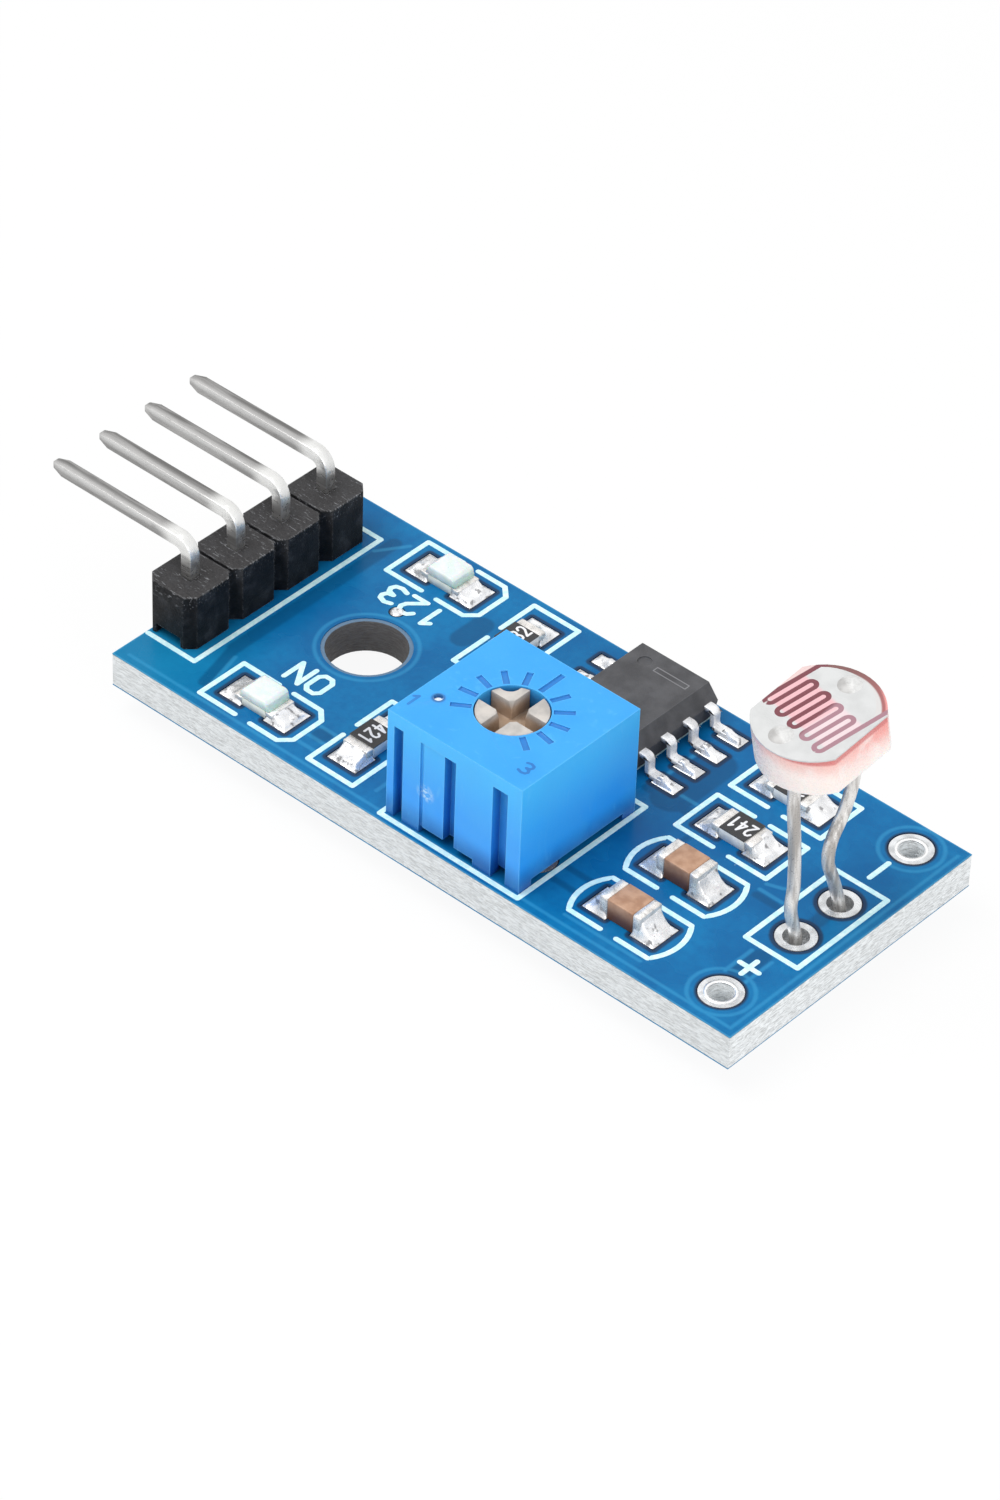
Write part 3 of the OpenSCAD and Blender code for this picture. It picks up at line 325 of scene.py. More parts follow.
def tin(name, colour=(205, 207, 210), rough=0.26, lumps=3.0, depth=0.03, streak=None, metal=0.9, painted_dark_spots=0.0):
    """Bright tinned metal or solder with an uneven skin."""
    m = Shader(name)
    wide = m.noise(lumps, 3.0, 0.5)
    fine = m.noise(lumps * 7.0, 3.0, 0.6, streak and m.stretched(*streak))
    base = m.mix(m.ramp(wide, 0.3, 0.7), lin(*[int(c * 0.86) for c in colour]), lin(*colour))
    base = m.mix(m.ramp(fine, 0.6, 0.8, 0.0, 0.25), base, lin(*[int(c * 0.66) for c in colour]))
    if painted_dark_spots:
        # painted shade and dark reflections: grey-black spots over the bright metal
        base = m.mix(m.ramp(m.noise(lumps * 1.7, 2.0, 0.6), 0.56, 0.68, 0.0, painted_dark_spots), base, lin(74, 72, 76))
    base = m.mix(m.math("MULTIPLY", m.edge(0.05), 0.35), base, lin(245, 246, 248))
    m.set(Base_Color=base, Metallic=metal, Roughness=m.ramp(fine, 0.3, 0.75, rough * 0.8, rough * 1.6))
    m.bump(m.math("ADD", wide, m.math("MULTIPLY", fine, 0.3)), depth, 0.8)
    return m.mat


def print_white():
    m = Shader("print_pale")
    patch = m.noise(4.0, 3.0, 0.6)
    fine = m.noise(30.0, 2.0)
    base = m.mix(m.ramp(patch, 0.35, 0.7), lin(196, 238, 246), lin(226, 252, 255))
    base = m.mix(m.ramp(fine, 0.62, 0.75, 0.0, 0.25), base, lin(150, 205, 230))
    m.set(Base_Color=base, Roughness=m.ramp(fine, 0.3, 0.7, 0.4, 0.6))
    m.bump(fine, 0.006, 0.6)
    return m.mat


def plain_plastic(name, dark, light, rough=(0.35, 0.55), grain=14.0, depth=0.012, worn=(120, 120, 122), wear=0.5,
                  sheen=0.0, scatter=0.0):
    m = Shader(name)
    broad = m.noise(0.8, 3.0, 0.5)
    fine = m.noise(grain, 3.0, 0.6)
    scratch = m.noise(6.0, 3.0, 0.65, m.stretched(0.5, 3.5, 1.0), 0.4)
    base = m.mix(m.ramp(broad, 0.3, 0.7), lin(*dark), lin(*light))
    edge = m.math("MULTIPLY", m.edge(0.06), m.ramp(scratch, 0.35, 0.6, 0.35, 1.0))
    base = m.mix(m.math("MULTIPLY", edge, wear), base, lin(*worn))
    m.set(Base_Color=base, Roughness=m.ramp(fine, 0.3, 0.7, rough[0], rough[1]))
    if scatter:
        m.set(Subsurface_Weight=scatter, Subsurface_Scale=0.35 * MM, Subsurface_Radius=(0.4, 0.7, 1.0))
    if sheen:
        m.set(Coat_Weight=sheen, Coat_Roughness=0.2)
    m.bump(m.math("ADD", fine, m.math("MULTIPLY", scratch, 0.4)), depth, 0.7)
    return m.mat


def trimmer_blue():
    m = Shader("trimmer_blue")
    broad = m.noise(0.5, 2.0, 0.5)
    fine = m.noise(26.0, 3.0, 0.6)
    flow = m.noise(2.2, 3.0, 0.5, m.stretched(1.0, 1.0, 0.25), 0.8)
    z = m.axis(2)
    upward = m.upward()
    # painted light and shade: the walls darken toward the board and lighten toward the top, and the upward faces get a
    # blue of their own
    wall = m.mix(m.ramp(z, 1.6, 3.0), lin(8, 92, 168), lin(34, 156, 248))
    wall = m.mix(m.ramp(z, 3.5, 6.4, smooth=False), wall, lin(60, 186, 253))
    base = m.mix(upward, wall, lin(42, 156, 236))
    base = m.mix(m.ramp(broad, 0.3, 0.7, 0.0, 0.35), base, lin(60, 170, 244))
    base = m.mix(m.ramp(flow, 0.6, 0.75, 0.0, 0.25), base, lin(96, 190, 250))
    sheen = m.vector("LENGTH", m.vector("SUBTRACT", m.place(), SHEEN))
    sheen = m.math("MULTIPLY", m.ramp(sheen, 0.1, 0.5, 1.0, 0.0), m.ramp(m.noise(5.0, 3.0, 0.7), 0.42, 0.6))
    base = m.mix(m.math("MULTIPLY", sheen, 0.8), base, lin(206, 236, 252))
    # painted highlight: lighter blue along the rounded edges
    base = m.mix(m.math("MULTIPLY", m.edge(0.09), 0.5), base, lin(120, 205, 255))
    # painted shade: darker blue on the upward faces sunk just below the top
    sunk = m.math("MULTIPLY", upward, m.math("MULTIPLY", m.ramp(z, 6.53, 6.57, 1.0, 0.0), m.ramp(z, 6.4, 6.5)))
    base = m.mix(m.math("MULTIPLY", sunk, 0.85), base, lin(24, 118, 196))
    # painted shade: darker blue in the hollows
    base = m.mix(m.ramp(m.hollow(1.2), 0.0, 1.0, 0.6, 0.0), base, lin(6, 62, 150))
    blob = m.vector("LENGTH", m.vector("SUBTRACT", m.flat(), (DIMPLE[0] + 0.03, DIMPLE[1] - 0.03, 0.0)))
    high = m.ramp(z, 6.2, 6.3)
    # painted shade: a dark ring round the dimple
    base = m.mix(m.math("MULTIPLY", m.ramp(blob, 0.2, 0.34, 0.75, 0.0), high), base, lin(22, 74, 134))
    base = m.mix(m.math("MULTIPLY", m.ramp(blob, 0.15, 0.19, 1.0, 0.0), high), base, lin(246, 250, 252))
    m.set(Base_Color=base, Roughness=m.ramp(fine, 0.3, 0.7, 0.34, 0.5), Subsurface_Weight=0.12,
          Subsurface_Scale=0.3 * MM, Subsurface_Radius=(0.2, 0.6, 1.0))
    m.bump(m.math("ADD", m.math("MULTIPLY", fine, 0.35), flow), 0.02, 0.5)
    return m.mat


def rotor_cream():
    """Cream on top and tan in the slots."""
    m = Shader("rotor_cream")
    fine = m.noise(18.0, 3.0, 0.6)
    broad = m.noise(1.6, 3.0, 0.5)
    top = m.mix(m.ramp(broad, 0.3, 0.7), lin(176, 172, 168), lin(204, 198, 192))
    deep = m.mix(m.ramp(broad, 0.3, 0.7), lin(184, 156, 130), lin(212, 188, 164))
    base = m.mix(m.ramp(m.axis(2), 6.1, 6.5), deep, top)
    base = m.mix(m.ramp(fine, 0.6, 0.78, 0.0, 0.3), base, lin(146, 124, 106))
    # painted shade: dark brown in the hollows
    base = m.mix(m.ramp(m.hollow(0.9), 0.0, 1.0, 0.55, 0.0), base, lin(104, 76, 56))
    m.set(Base_Color=base, Roughness=m.ramp(fine, 0.3, 0.7, 0.5, 0.7))
    m.bump(fine, 0.02, 0.7)
    return m.mat


def chip_black():
    m = Shader("package_plastic")
    grain = m.noise(24.0, 3.0, 0.7)
    broad = m.noise(1.2, 3.0, 0.5)
    base = m.mix(m.ramp(broad, 0.3, 0.7), lin(60, 60, 63), lin(80, 80, 83))
    base = m.mix(m.ramp(grain, 0.58, 0.72, 0.0, 0.5), base, lin(108, 108, 110))
    base = m.mix(m.math("MULTIPLY", m.edge(0.05), 0.45), base, lin(140, 140, 142))
    m.set(Base_Color=base, Roughness=m.ramp(grain, 0.3, 0.7, 0.5, 0.72))
    m.bump(grain, 0.012, 0.9)
    return m.mat


def header_black():
    """Moulded black plastic: blotchy, scuffed pale along its top edges, greyer on top as painted light."""
    m = Shader("header_black")
    broad = m.noise(1.6, 3.0, 0.6)
    fine = m.noise(17.0, 3.0, 0.6)
    scratch = m.noise(5.0, 3.0, 0.7, m.stretched(0.6, 3.0, 1.4), 0.5)
    # painted light: the upward faces are greyer than the sides
    top = m.math("MULTIPLY", m.upward(), m.ramp(fine, 0.3, 0.7, 0.4, 0.9))
    base = m.mix(m.ramp(broad, 0.35, 0.65), lin(8, 8, 10), lin(26, 27, 30))
    base = m.mix(top, base, lin(70, 69, 70))
    base = m.mix(m.ramp(broad, 0.55, 0.7, 0.0, 0.2), base, lin(78, 80, 84))
    base = m.mix(m.ramp(fine, 0.6, 0.76, 0.0, 0.28), base, lin(68, 70, 74))
    worn = m.math("MULTIPLY", m.edge(0.1), m.ramp(scratch, 0.46, 0.58))
    base = m.mix(m.math("MULTIPLY", worn, 0.85), base, lin(206, 208, 212))
    high = m.math("MULTIPLY", m.ramp(m.axis(2), 3.2, 4.0), m.ramp(scratch, 0.6, 0.68))
    base = m.mix(m.math("MULTIPLY", high, 0.6), base, lin(150, 152, 156))
    m.set(Base_Color=base, Roughness=m.ramp(fine, 0.3, 0.7, 0.42, 0.62))
    m.feed(m.bsdf.inputs["Specular IOR Level"], 0.16)
    m.bump(m.math("ADD", fine, m.math("MULTIPLY", scratch, 0.6)), 0.03, 0.7)
    return m.mat


def pin_streaks():
    """Tinned square pins with painted highlights: light along the near ridge, grey toward the outer edges, nearly white
    at the bend.
    """
    m = Shader("pin_tin")
    side = m.math("SUBTRACT", m.math("MODULO", m.math("ADD", m.axis(1), 5.08), 2.54), 1.27)
    long = m.noise(1.6, 2.0, 0.5, m.stretched(0.2, 2.6, 2.6), 0.2)
    fine = m.noise(9.0, 2.0, 0.5, m.stretched(0.3, 1.0, 1.0))
    # painted highlight: light along the near ridge of each pin's top, grey toward its outer edges
    top = m.mix(m.ramp(side, -0.3, 0.14), lin(200, 199, 198), lin(112, 111, 110))
    # painted light and shade: the walls darker low down and lighter toward the bend
    wall = m.mix(m.ramp(m.axis(2), 5.46, 5.86), lin(142, 141, 140), lin(216, 216, 215))
    base = m.mix(m.upward(), wall, top)
    base = m.mix(m.ramp(long, 0.42, 0.62, 0.0, 0.4), base, lin(196, 195, 194))
    base = m.mix(m.ramp(fine, 0.6, 0.75, 0.0, 0.3), base, lin(120, 118, 116))
    # painted highlight: nearly white at the bend
    bend = m.vector("LENGTH", m.vector("SUBTRACT", m.stretched(1.0, 0.0, 1.0), (-6.1, 0.0, 5.8)))
    base = m.mix(m.ramp(bend, 0.5, 1.3, 0.75, 0.0), base, lin(248, 248, 246))
    m.set(Base_Color=base, Metallic=0.7, Roughness=m.ramp(fine, 0.3, 0.75, 0.26, 0.42))
    m.bump(m.math("ADD", long, m.math("MULTIPLY", fine, 0.4)), 0.03, 0.6)
    return m.mat


def wire_tin():
    """Round tinned legs with light and dark streaks along them."""
    m = Shader("wire_tin")
    streak = m.noise(2.6, 3.0, 0.6, m.stretched(1.3, 1.3, 0.1), 0.1)
    fine = m.noise(12.0, 3.0, 0.6)
    base = m.mix(m.ramp(streak, 0.36, 0.62), lin(172, 168, 164), lin(232, 230, 227))
    base = m.mix(m.ramp(fine, 0.6, 0.78, 0.0, 0.35), base, lin(128, 122, 118))
    m.set(Base_Color=base, Metallic=0.6, Roughness=m.ramp(fine, 0.3, 0.75, 0.26, 0.44))
    m.bump(m.math("ADD", streak, m.math("MULTIPLY", fine, 0.3)), 0.04, 0.7)
    return m.mat


def corner_pad():
    """Silver rings: a raised line round the hole with a painted highlight along it, uneven tin outside it."""
    m = Shader("pad_tin")
    corners = m.boxes((22.84, 0.0), [(0.0, 5.5)], (0.0, 0.0))
    wide = m.noise(2.4, 3.0, 0.5)
    fine = m.noise(16.0, 3.0, 0.6)
    lip_highlight = m.math("MULTIPLY", m.ramp(corners, 0.5, 0.56), m.ramp(corners, 0.6, 0.68, 1.0, 0.0))
    base = m.mix(m.ramp(wide, 0.3, 0.7), lin(200, 202, 204), lin(236, 238, 240))
    base = m.mix(m.ramp(fine, 0.6, 0.8, 0.0, 0.4), base, lin(146, 146, 148))
    # painted highlight: near white along the lip
    base = m.mix(m.math("MULTIPLY", lip_highlight, 0.9), base, lin(254, 254, 254))
    m.set(Base_Color=base, Metallic=0.75, Roughness=m.ramp(fine, 0.3, 0.75, 0.22, 0.42))
    m.bump(m.math("ADD", m.math("ADD", wide, m.math("MULTIPLY", fine, 0.3)), lip_highlight), 0.05, 0.8)
    return m.mat


def capacitor():
    """Tan ceramic, darker toward its foot."""
    m = Shader("capacitor_tan")
    broad = m.noise(2.5, 3.0, 0.5)
    fine = m.noise(20.0, 3.0, 0.6)
    foot = m.ramp(m.axis(2), 1.7, 2.55)
    base = m.mix(m.ramp(broad, 0.3, 0.7), lin(164, 122, 94), lin(190, 150, 122))
    base = m.mix(foot, lin(98, 62, 44), base)
    base = m.mix(m.math("MULTIPLY", m.edge(0.05), 0.35), base, lin(214, 184, 160))
    m.set(Base_Color=base, Roughness=m.ramp(fine, 0.3, 0.7, 0.34, 0.55), Coat_Weight=0.1, Coat_Roughness=0.1)
    m.bump(fine, 0.01, 0.7)
    return m.mat


def ceramic(name, dark, light, glaze=0.0, mottle=2.5):
    m = Shader(name)
    broad = m.noise(mottle, 3.0, 0.5)
    fine = m.noise(20.0, 3.0, 0.6)
    base = m.mix(m.ramp(broad, 0.3, 0.7), lin(*dark), lin(*light))
    base = m.mix(m.math("MULTIPLY", m.edge(0.05), 0.3), base, lin(250, 246, 240))
    m.set(Base_Color=base, Roughness=m.ramp(fine, 0.3, 0.7, 0.38, 0.6), Coat_Weight=glaze, Coat_Roughness=0.08)
    m.bump(fine, 0.01, 0.7)
    return m.mat


def lens():
    m = Shader("light_lens")
    wide = m.noise(2.6, 3.0, 0.5)
    fine = m.noise(14.0, 2.0, 0.6)
    base = m.mix(m.ramp(wide, 0.35, 0.65), lin(240, 246, 247), lin(230, 241, 237))
    low = m.math("MULTIPLY", m.ramp(m.axis(2), 1.9, 2.4, 1.0, 0.0), m.ramp(m.axis(0), -0.6, 0.4))
    base = m.mix(low, base, lin(196, 230, 214))
    base = m.mix(m.ramp(m.cells(4.0), 0.0, 0.09, 0.8, 0.0), base, lin(120, 126, 130))
    m.set(Base_Color=base, Roughness=m.ramp(fine, 0.3, 0.7, 0.14, 0.28), Transmission_Weight=0.08,
          Subsurface_Weight=0.4, Subsurface_Scale=0.3 * MM, Coat_Weight=0.5, Coat_Roughness=0.06)
    m.feed(m.bsdf.inputs["IOR"], 1.5)
    m.bump(m.math("ADD", wide, m.math("MULTIPLY", fine, 0.3)), 0.04, 0.6)
    return m.mat


def sensor_side():
    """Fired ceramic under a clear coat: pink below the face, strongest round the far and right sides."""
    m = Shader("sensor_ceramic")
    away = m.vector("SUBTRACT", m.place(), (22.1, 0.0, 0.0))
    depth = m.math("SUBTRACT", 11.09, m.vector("DOT_PRODUCT", away, (0.052, -0.158, 1.0)))
    right = m.ramp(m.vector("DOT_PRODUCT", away, (0.97, 0.25, 0.0)), 1.5, 2.5)
    blush = m.noise(1.1, 3.0, 0.5)
    fine = m.noise(12.0, 3.0, 0.6)
    base = m.mix(m.ramp(depth, 0.05, 0.9, 0.2, 1.0), lin(244, 186, 178), lin(250, 236, 231))
    base = m.mix(m.math("MULTIPLY", m.ramp(depth, 0.1, 1.5, 0.75, 0.0), right), base, lin(238, 134, 126))
    base = m.mix(m.ramp(blush, 0.46, 0.66, 0.0, 0.5), base, lin(252, 244, 240))
    base = m.mix(m.ramp(depth, 0.0, 0.14, 0.8, 0.0), base, lin(206, 96, 96))
    m.set(Base_Color=base, Roughness=m.ramp(fine, 0.3, 0.7, 0.2, 0.4), Subsurface_Weight=0.35,
          Subsurface_Scale=0.5 * MM, Subsurface_Radius=(1.0, 0.5, 0.4), Coat_Weight=0.5, Coat_Roughness=0.1)
    m.bump(m.math("ADD", fine, blush), 0.03, 0.6)
    return m.mat


def face_place(m):
    """Place on the sensor's face, across the lines of the track and along them."""
    away = m.vector("SUBTRACT", m.place(), (22.1, 0.0, 0.0))
    across = m.vector("DOT_PRODUCT", away, (0.973, -0.230, 0.0))
    along = m.vector("DOT_PRODUCT", away, (0.230, 0.973, 0.0))
    return across, along


def sensor_film():
    """Dark red in the first lines, mauve in the later ones, brown along the left side, a thin rim line."""
    m = Shader("sensor_film")
    across, along = face_place(m)
    fine = m.noise(16.0, 3.0, 0.6)
    split = m.ramp(m.math("ADD", across, m.math("MULTIPLY", along, 0.22)), 0.05, 0.3)
    middle = m.vector("LENGTH", m.vector("SUBTRACT", m.flat(), (22.1, 0.0, 0.0)))
    base = m.mix(split, lin(112, 46, 58), lin(158, 116, 128))
    rim = m.mix(m.ramp(across, -1.2, 1.6), lin(118, 74, 72), lin(160, 92, 92))
    rim = m.mix(m.ramp(middle, 2.22, 2.3), lin(206, 204, 203), rim)
    rim = m.mix(m.math("MULTIPLY", m.ramp(middle, 2.36, 2.44), m.ramp(across, 0.2, 1.2)), rim, lin(222, 146, 142))
    last_line = m.ramp(m.math("ABSOLUTE", m.math("SUBTRACT", across, 1.643)), 0.1, 0.12)
    outside = m.math("MULTIPLY", m.ramp(middle, 1.96, 2.02), m.ramp(across, -1.75, -1.7))
    base = m.mix(m.math("MULTIPLY", outside, last_line), base, rim)
    base = m.mix(m.ramp(across, -2.06, -2.03, 1.0, 0.0), base, lin(222, 196, 194))
    corner = m.math("MULTIPLY", m.ramp(across, 1.74, 1.78), m.ramp(along, 0.4, 1.5))
    base = m.mix(corner, base, lin(214, 150, 146))
    base = m.mix(m.ramp(fine, 0.55, 0.75, 0.0, 0.2), base, lin(186, 130, 138))
    m.set(Base_Color=base, Roughness=0.36, Coat_Weight=0.35, Coat_Roughness=0.1)
    m.bump(fine, 0.01, 0.6)
    return m.mat


def electrode():
    """Pale grey metal, with the pink of the ceramic showing through between the lines of the track."""
    m = Shader("electrode_metal")
    across, along = face_place(m)
    broad = m.noise(1.3, 3.0, 0.5)
    fine = m.noise(16.0, 3.0, 0.6)
    base = m.mix(m.ramp(broad, 0.3, 0.7), lin(197, 198, 198), lin(207, 208, 208))
    between = m.math("MULTIPLY", m.ramp(m.math("ABSOLUTE", m.math("ADD", along, 0.06)), 0.74, 0.95, 1.0, 0.0),
                     m.math("MULTIPLY", m.ramp(across, -2.05, -1.9), m.ramp(across, 1.6, 1.75, 1.0, 0.0)))
    pink = m.mix(m.ramp(across, 0.1, 0.5), lin(228, 174, 180), lin(226, 204, 208))
    base = m.mix(m.math("MULTIPLY", between, 0.9), base, pink)
    base = m.mix(m.ramp(fine, 0.62, 0.78, 0.0, 0.2), base, lin(180, 172, 168))
    m.set(Base_Color=base, Metallic=0.1, Roughness=m.ramp(fine, 0.3, 0.7, 0.34, 0.52), Coat_Weight=0.3,
          Coat_Roughness=0.1)
    m.bump(fine, 0.012, 0.6)
    return m.mat


def contact_dome():
    """Pale domes, greyer on the side that looks away from the light."""
    m = Shader("contact_solder")
    fine = m.noise(9.0, 3.0, 0.6)
    geometry = m.node("ShaderNodeNewGeometry")
    lean = m.vector("DOT_PRODUCT", geometry.outputs["Normal"], (-0.45, -0.89, 0.0))
    base = m.mix(m.ramp(fine, 0.35, 0.65), lin(204, 204, 203), lin(218, 218, 217))
    base = m.mix(m.ramp(lean, 0.12, 0.4, 0.0, 0.6), base, lin(146, 144, 142))
    m.set(Base_Color=base, Metallic=0.1, Roughness=m.ramp(fine, 0.3, 0.7, 0.3, 0.45))
    m.bump(fine, 0.015, 0.5)
    return m.mat


MATERIALS = {
    "lacquer": lacquer("lacquer_upper", True),
    "lacquer_lower": lacquer("lacquer_lower", False),
    "laminate": laminate(),
    "pads": corner_pad(),
    "solder": tin("solder_bright", (252, 252, 253), 0.22, 1.7, 0.06, metal=0.5, painted_dark_spots=0.7),
    "pins": pin_streaks(),
    "leads": tin("chip_lead_tin", (252, 252, 253), 0.3, 2.0, 0.03, metal=0.3),
    "wires": wire_tin(),
    "terminals": tin("terminal_tin", (246, 242, 238), 0.28, 2.4, 0.05, metal=0.5, painted_dark_spots=0.3),
    "print": print_white(),
    "header": header_black(),
    "trimmer": trimmer_blue(),
    "rotor": rotor_cream(),
    "chip": chip_black(),
    "coat": plain_plastic("resistor_black", (26, 26, 28), (40, 40, 42), (0.3, 0.5), 18.0, 0.02, (110, 110, 110), 0.3),
    "white_ceramic": ceramic("white_ceramic", (226, 226, 222), (244, 243, 240)),
    "tan_ceramic": capacitor(),
    "light_base": ceramic("light_base_white", (214, 220, 210), (236, 238, 230)),
    "lens": lens(),
    "die": ceramic("light_die", (176, 190, 140), (214, 220, 176)),
    "brass": tin("wiper_brass", (206, 172, 96), 0.28, 2.0, 0.02),
    "ink": plain_plastic("resistance_ink", (24, 24, 26), (38, 38, 40), (0.5, 0.7)),
    "seal": plain_plastic("seal_resin", (176, 166, 140), (204, 196, 170), (0.25, 0.4), 8.0, 0.02, (220, 214, 196), 0.3),
    "sensor_side": sensor_side(),
    "sensor_film": sensor_film(),
    "electrode": electrode(),
    "dome": contact_dome(),
    # painted shade: a darker blue standing in for the shade in the engraved numbers
    "engraving": plain_plastic("engraved_blue", (22, 112, 190), (36, 128, 206), worn=(60, 160, 230), wear=0.1),
    "chip_print": plain_plastic("chip_print", (118, 118, 121), (140, 140, 143), worn=(150, 150, 152), wear=0.1),
    "digits": plain_plastic("digit_white", (206, 206, 208), (236, 236, 238), worn=(250, 250, 250), wear=0.1),
}

NODE_LOOKS = {
    "circuit_board": "laminate", "solder_mask_top": "lacquer", "solder_mask_bottom": "lacquer_lower",
    "copper_pads": "pads", "legend_print": "print", "header_block": "header",
    "header_pin_1": "pins", "header_pin_2": "pins", "header_pin_3": "pins", "header_pin_4": "pins",
    "header_solder": "solder", "power_led_base": "light_base", "output_led_base": "light_base",
    "power_led_lens": "lens", "output_led_lens": "lens", "power_led_terminals": "terminals",
    "output_led_terminals": "terminals", "light_dies": "die", "resistor_bodies": "white_ceramic",
    "resistor_coats": "coat", "resistor_terminals": "terminals", "capacitor_bodies": "tan_ceramic",
    "capacitor_terminals": "terminals", "surface_solder": "solder", "chip_body": "chip", "chip_leads": "leads",
    "trimmer_housing": "trimmer", "trimmer_rotor": "rotor", "trimmer_wiper": "brass",
    "trimmer_element": "white_ceramic", "trimmer_track": "ink", "trimmer_seal": "seal", "trimmer_pins": "leads",
    "trimmer_solder": "solder", "sensor_disc": "sensor_side", "sensor_track": "sensor_film",
    "sensor_electrode_left": "electrode", "sensor_electrode_right": "electrode", "sensor_contacts": "dome",
    "sensor_lead_1": "wires", "sensor_lead_2": "wires", "sensor_solder": "solder", "via_solder": "solder",
}

# Rounding of edges in millimetres, for the nodes whose real edges are visibly rounded
ROUNDED = {
    "circuit_board": 0.03, "header_block": 0.05, "header_pin_1": 0.05, "header_pin_2": 0.05,
    "header_pin_3": 0.05, "header_pin_4": 0.05, "resistor_bodies": 0.03, "resistor_terminals": 0.06,
    "capacitor_bodies": 0.05, "capacitor_terminals": 0.08, "power_led_terminals": 0.04,
    "output_led_terminals": 0.04, "power_led_base": 0.03, "output_led_base": 0.03, "power_led_lens": 0.08,
    "output_led_lens": 0.08, "chip_body": 0.05, "chip_leads": 0.04, "trimmer_housing": 0.05,
    "trimmer_rotor": 0.04, "sensor_disc": 0.0,
}


def round_edges(obj, width):
    weld = obj.modifiers.new("weld", "WELD")
    weld.merge_threshold = 0.0005 * MM
    bevel = obj.modifiers.new("bevel", "BEVEL")
    bevel.width = width * MM
    bevel.segments = 2
    bevel.limit_method = "ANGLE"
    bevel.angle_limit = math.radians(32)
    bevel.harden_normals = False
    normals = obj.modifiers.new("normals", "WEIGHTED_NORMAL")
    normals.keep_sharp = False
    normals.weight = 80


for name, look in NODE_LOOKS.items():
    obj = frame["nodes"][name]
    for slot in obj.material_slots:
        slot.material = MATERIALS[look]
    if ROUNDED.get(name):
        round_edges(obj, ROUNDED[name])

# mesh helpers


def add_mesh(name, verts, faces, look, smooth=True, body="module"):
    mesh = bpy.data.meshes.new(name)
    mesh.from_pydata([Vector(v) * MM for v in verts], [], faces)
    mesh.validate()
    mesh.update()
    for p in mesh.polygons:
        p.use_smooth = smooth
    obj = bpy.data.objects.new(name, mesh)
    bpy.context.scene.collection.objects.link(obj)
    mesh.materials.append(MATERIALS[look])
    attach(obj, body)
    return obj


def heightfield(x0, x1, y0, y1, nx, ny, height, verts, faces, place):
    """Adds an open sheet whose height comes from a function of the local position."""
    start = len(verts)
    for j in range(ny + 1):
        for i in range(nx + 1):
            x = x0 + (x1 - x0) * i / nx
            y = y0 + (y1 - y0) * j / ny
            px, py = place(x, y)
            verts.append((px, py, TOP + height(x, y)))
    for j in range(ny):
        for i in range(nx):
            a = start + j * (nx + 1) + i
            faces.append((a, a + 1, a + nx + 2, a + nx + 1))


def smooth_step(t):
    t = min(max(t, 0.0), 1.0)
    return t * t * (3 - 2 * t)


# solder of the surface parts

def solder_heaps():
    verts, faces = [], []
    rng = random.Random(11)

    def heap(cx, cy, turn, sign, rise, out=1.74, inn=0.62, w=1.45, block_x=1.0, block_y=0.625):
        seed = rng.random() * 100
        lean = rng.uniform(-0.2, 0.2)

        def place(x, y):
            x *= sign
            return (cx + x, cy + y) if not turn else (cx - y, cy + x)

        def height(x, y):
            ex = min(out - x, x - inn + 0.02)
            ey = w / 2 - abs(y)
            border = smooth_step(min(ex, ey) / 0.2)
            dx = max(x - block_x, 0.0)
            dy = max(abs(y) - block_y, 0.0)
            d = math.hypot(dx, dy)
            climb = rise * math.exp(-d / 0.24) * (1 + lean * y)
            lumpy = noise.noise(Vector((x * 2.1 + seed, y * 2.1, seed))) * 0.16
            body = 0.13 + lumpy * 0.55
            return max(border * (climb + max(body, 0.03)), 0.0) * (0.9 if border < 1 else 1.0) + 0.0

        heightfield(inn, out, -w / 2, w / 2, 22, 26, height, verts, faces, place)

    for y in CHIP_ROWS[:2]:
        heap(CHIP_X, y, False, 1, 0.62)
        heap(CHIP_X, y, False, -1, 0.4)
    for y in CHIP_ROWS[2:]:
        heap(CHIP_X, y, False, 1, 0.34)
        heap(CHIP_X, y, False, -1, 0.3)
    for x, y in CROSS:
        heap(x, y, True, 1, 0.3)
        heap(x, y, True, -1, 0.3)
    for x, y in LIGHTS:
        heap(x, y, False, 1, 0.2)
        heap(x, y, False, -1, 0.2)
    for side in (-1, 1):
        for i in range(4):
            heap(PACKAGE[0], PACKAGE[1] + (i - 1.5) * 1.27, False, side, 0.16,
                 out=3.75, inn=2.65, w=0.62, block_x=3.05, block_y=0.21)
    obj = add_mesh("solder_heaps", verts, faces, "solder")
    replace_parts(obj, "surface_solder")
    return obj


solder_heaps()

# print and engraving

GLYPHS = {
    "O": [[(0.18, 0), (0.52, 0), (0.7, 0.2), (0.7, 0.9), (0.52, 1.1), (0.18, 1.1), (0, 0.9), (0, 0.2), (0.18, 0)]],
    "N": [[(0, 0), (0, 1.1), (0.7, 0), (0.7, 1.1)]],
    "1": [[(0.12, 0.86), (0.4, 1.1), (0.4, 0)]],
    "2": [[(0, 0.86), (0.16, 1.06), (0.36, 1.1), (0.6, 1.02), (0.68, 0.8), (0.6, 0.58), (0, 0), (0.7, 0)]],
    "3": [[(0.02, 1.0), (0.3, 1.1), (0.6, 1.0), (0.66, 0.82), (0.56, 0.62), (0.3, 0.56)],
          [(0.3, 0.56), (0.6, 0.48), (0.7, 0.28), (0.6, 0.08), (0.32, 0), (0, 0.1)]],
    "4": [[(0.5, 0), (0.5, 1.1), (0, 0.34), (0.7, 0.34)]],
    "0": [[(0.35, 0), (0.6, 0.14), (0.7, 0.55), (0.6, 0.96), (0.35, 1.1), (0.1, 0.96), (0, 0.55), (0.1, 0.14), (0.35, 0)]],
    "-": [[(0, 0), (1.6, 0)]],
}


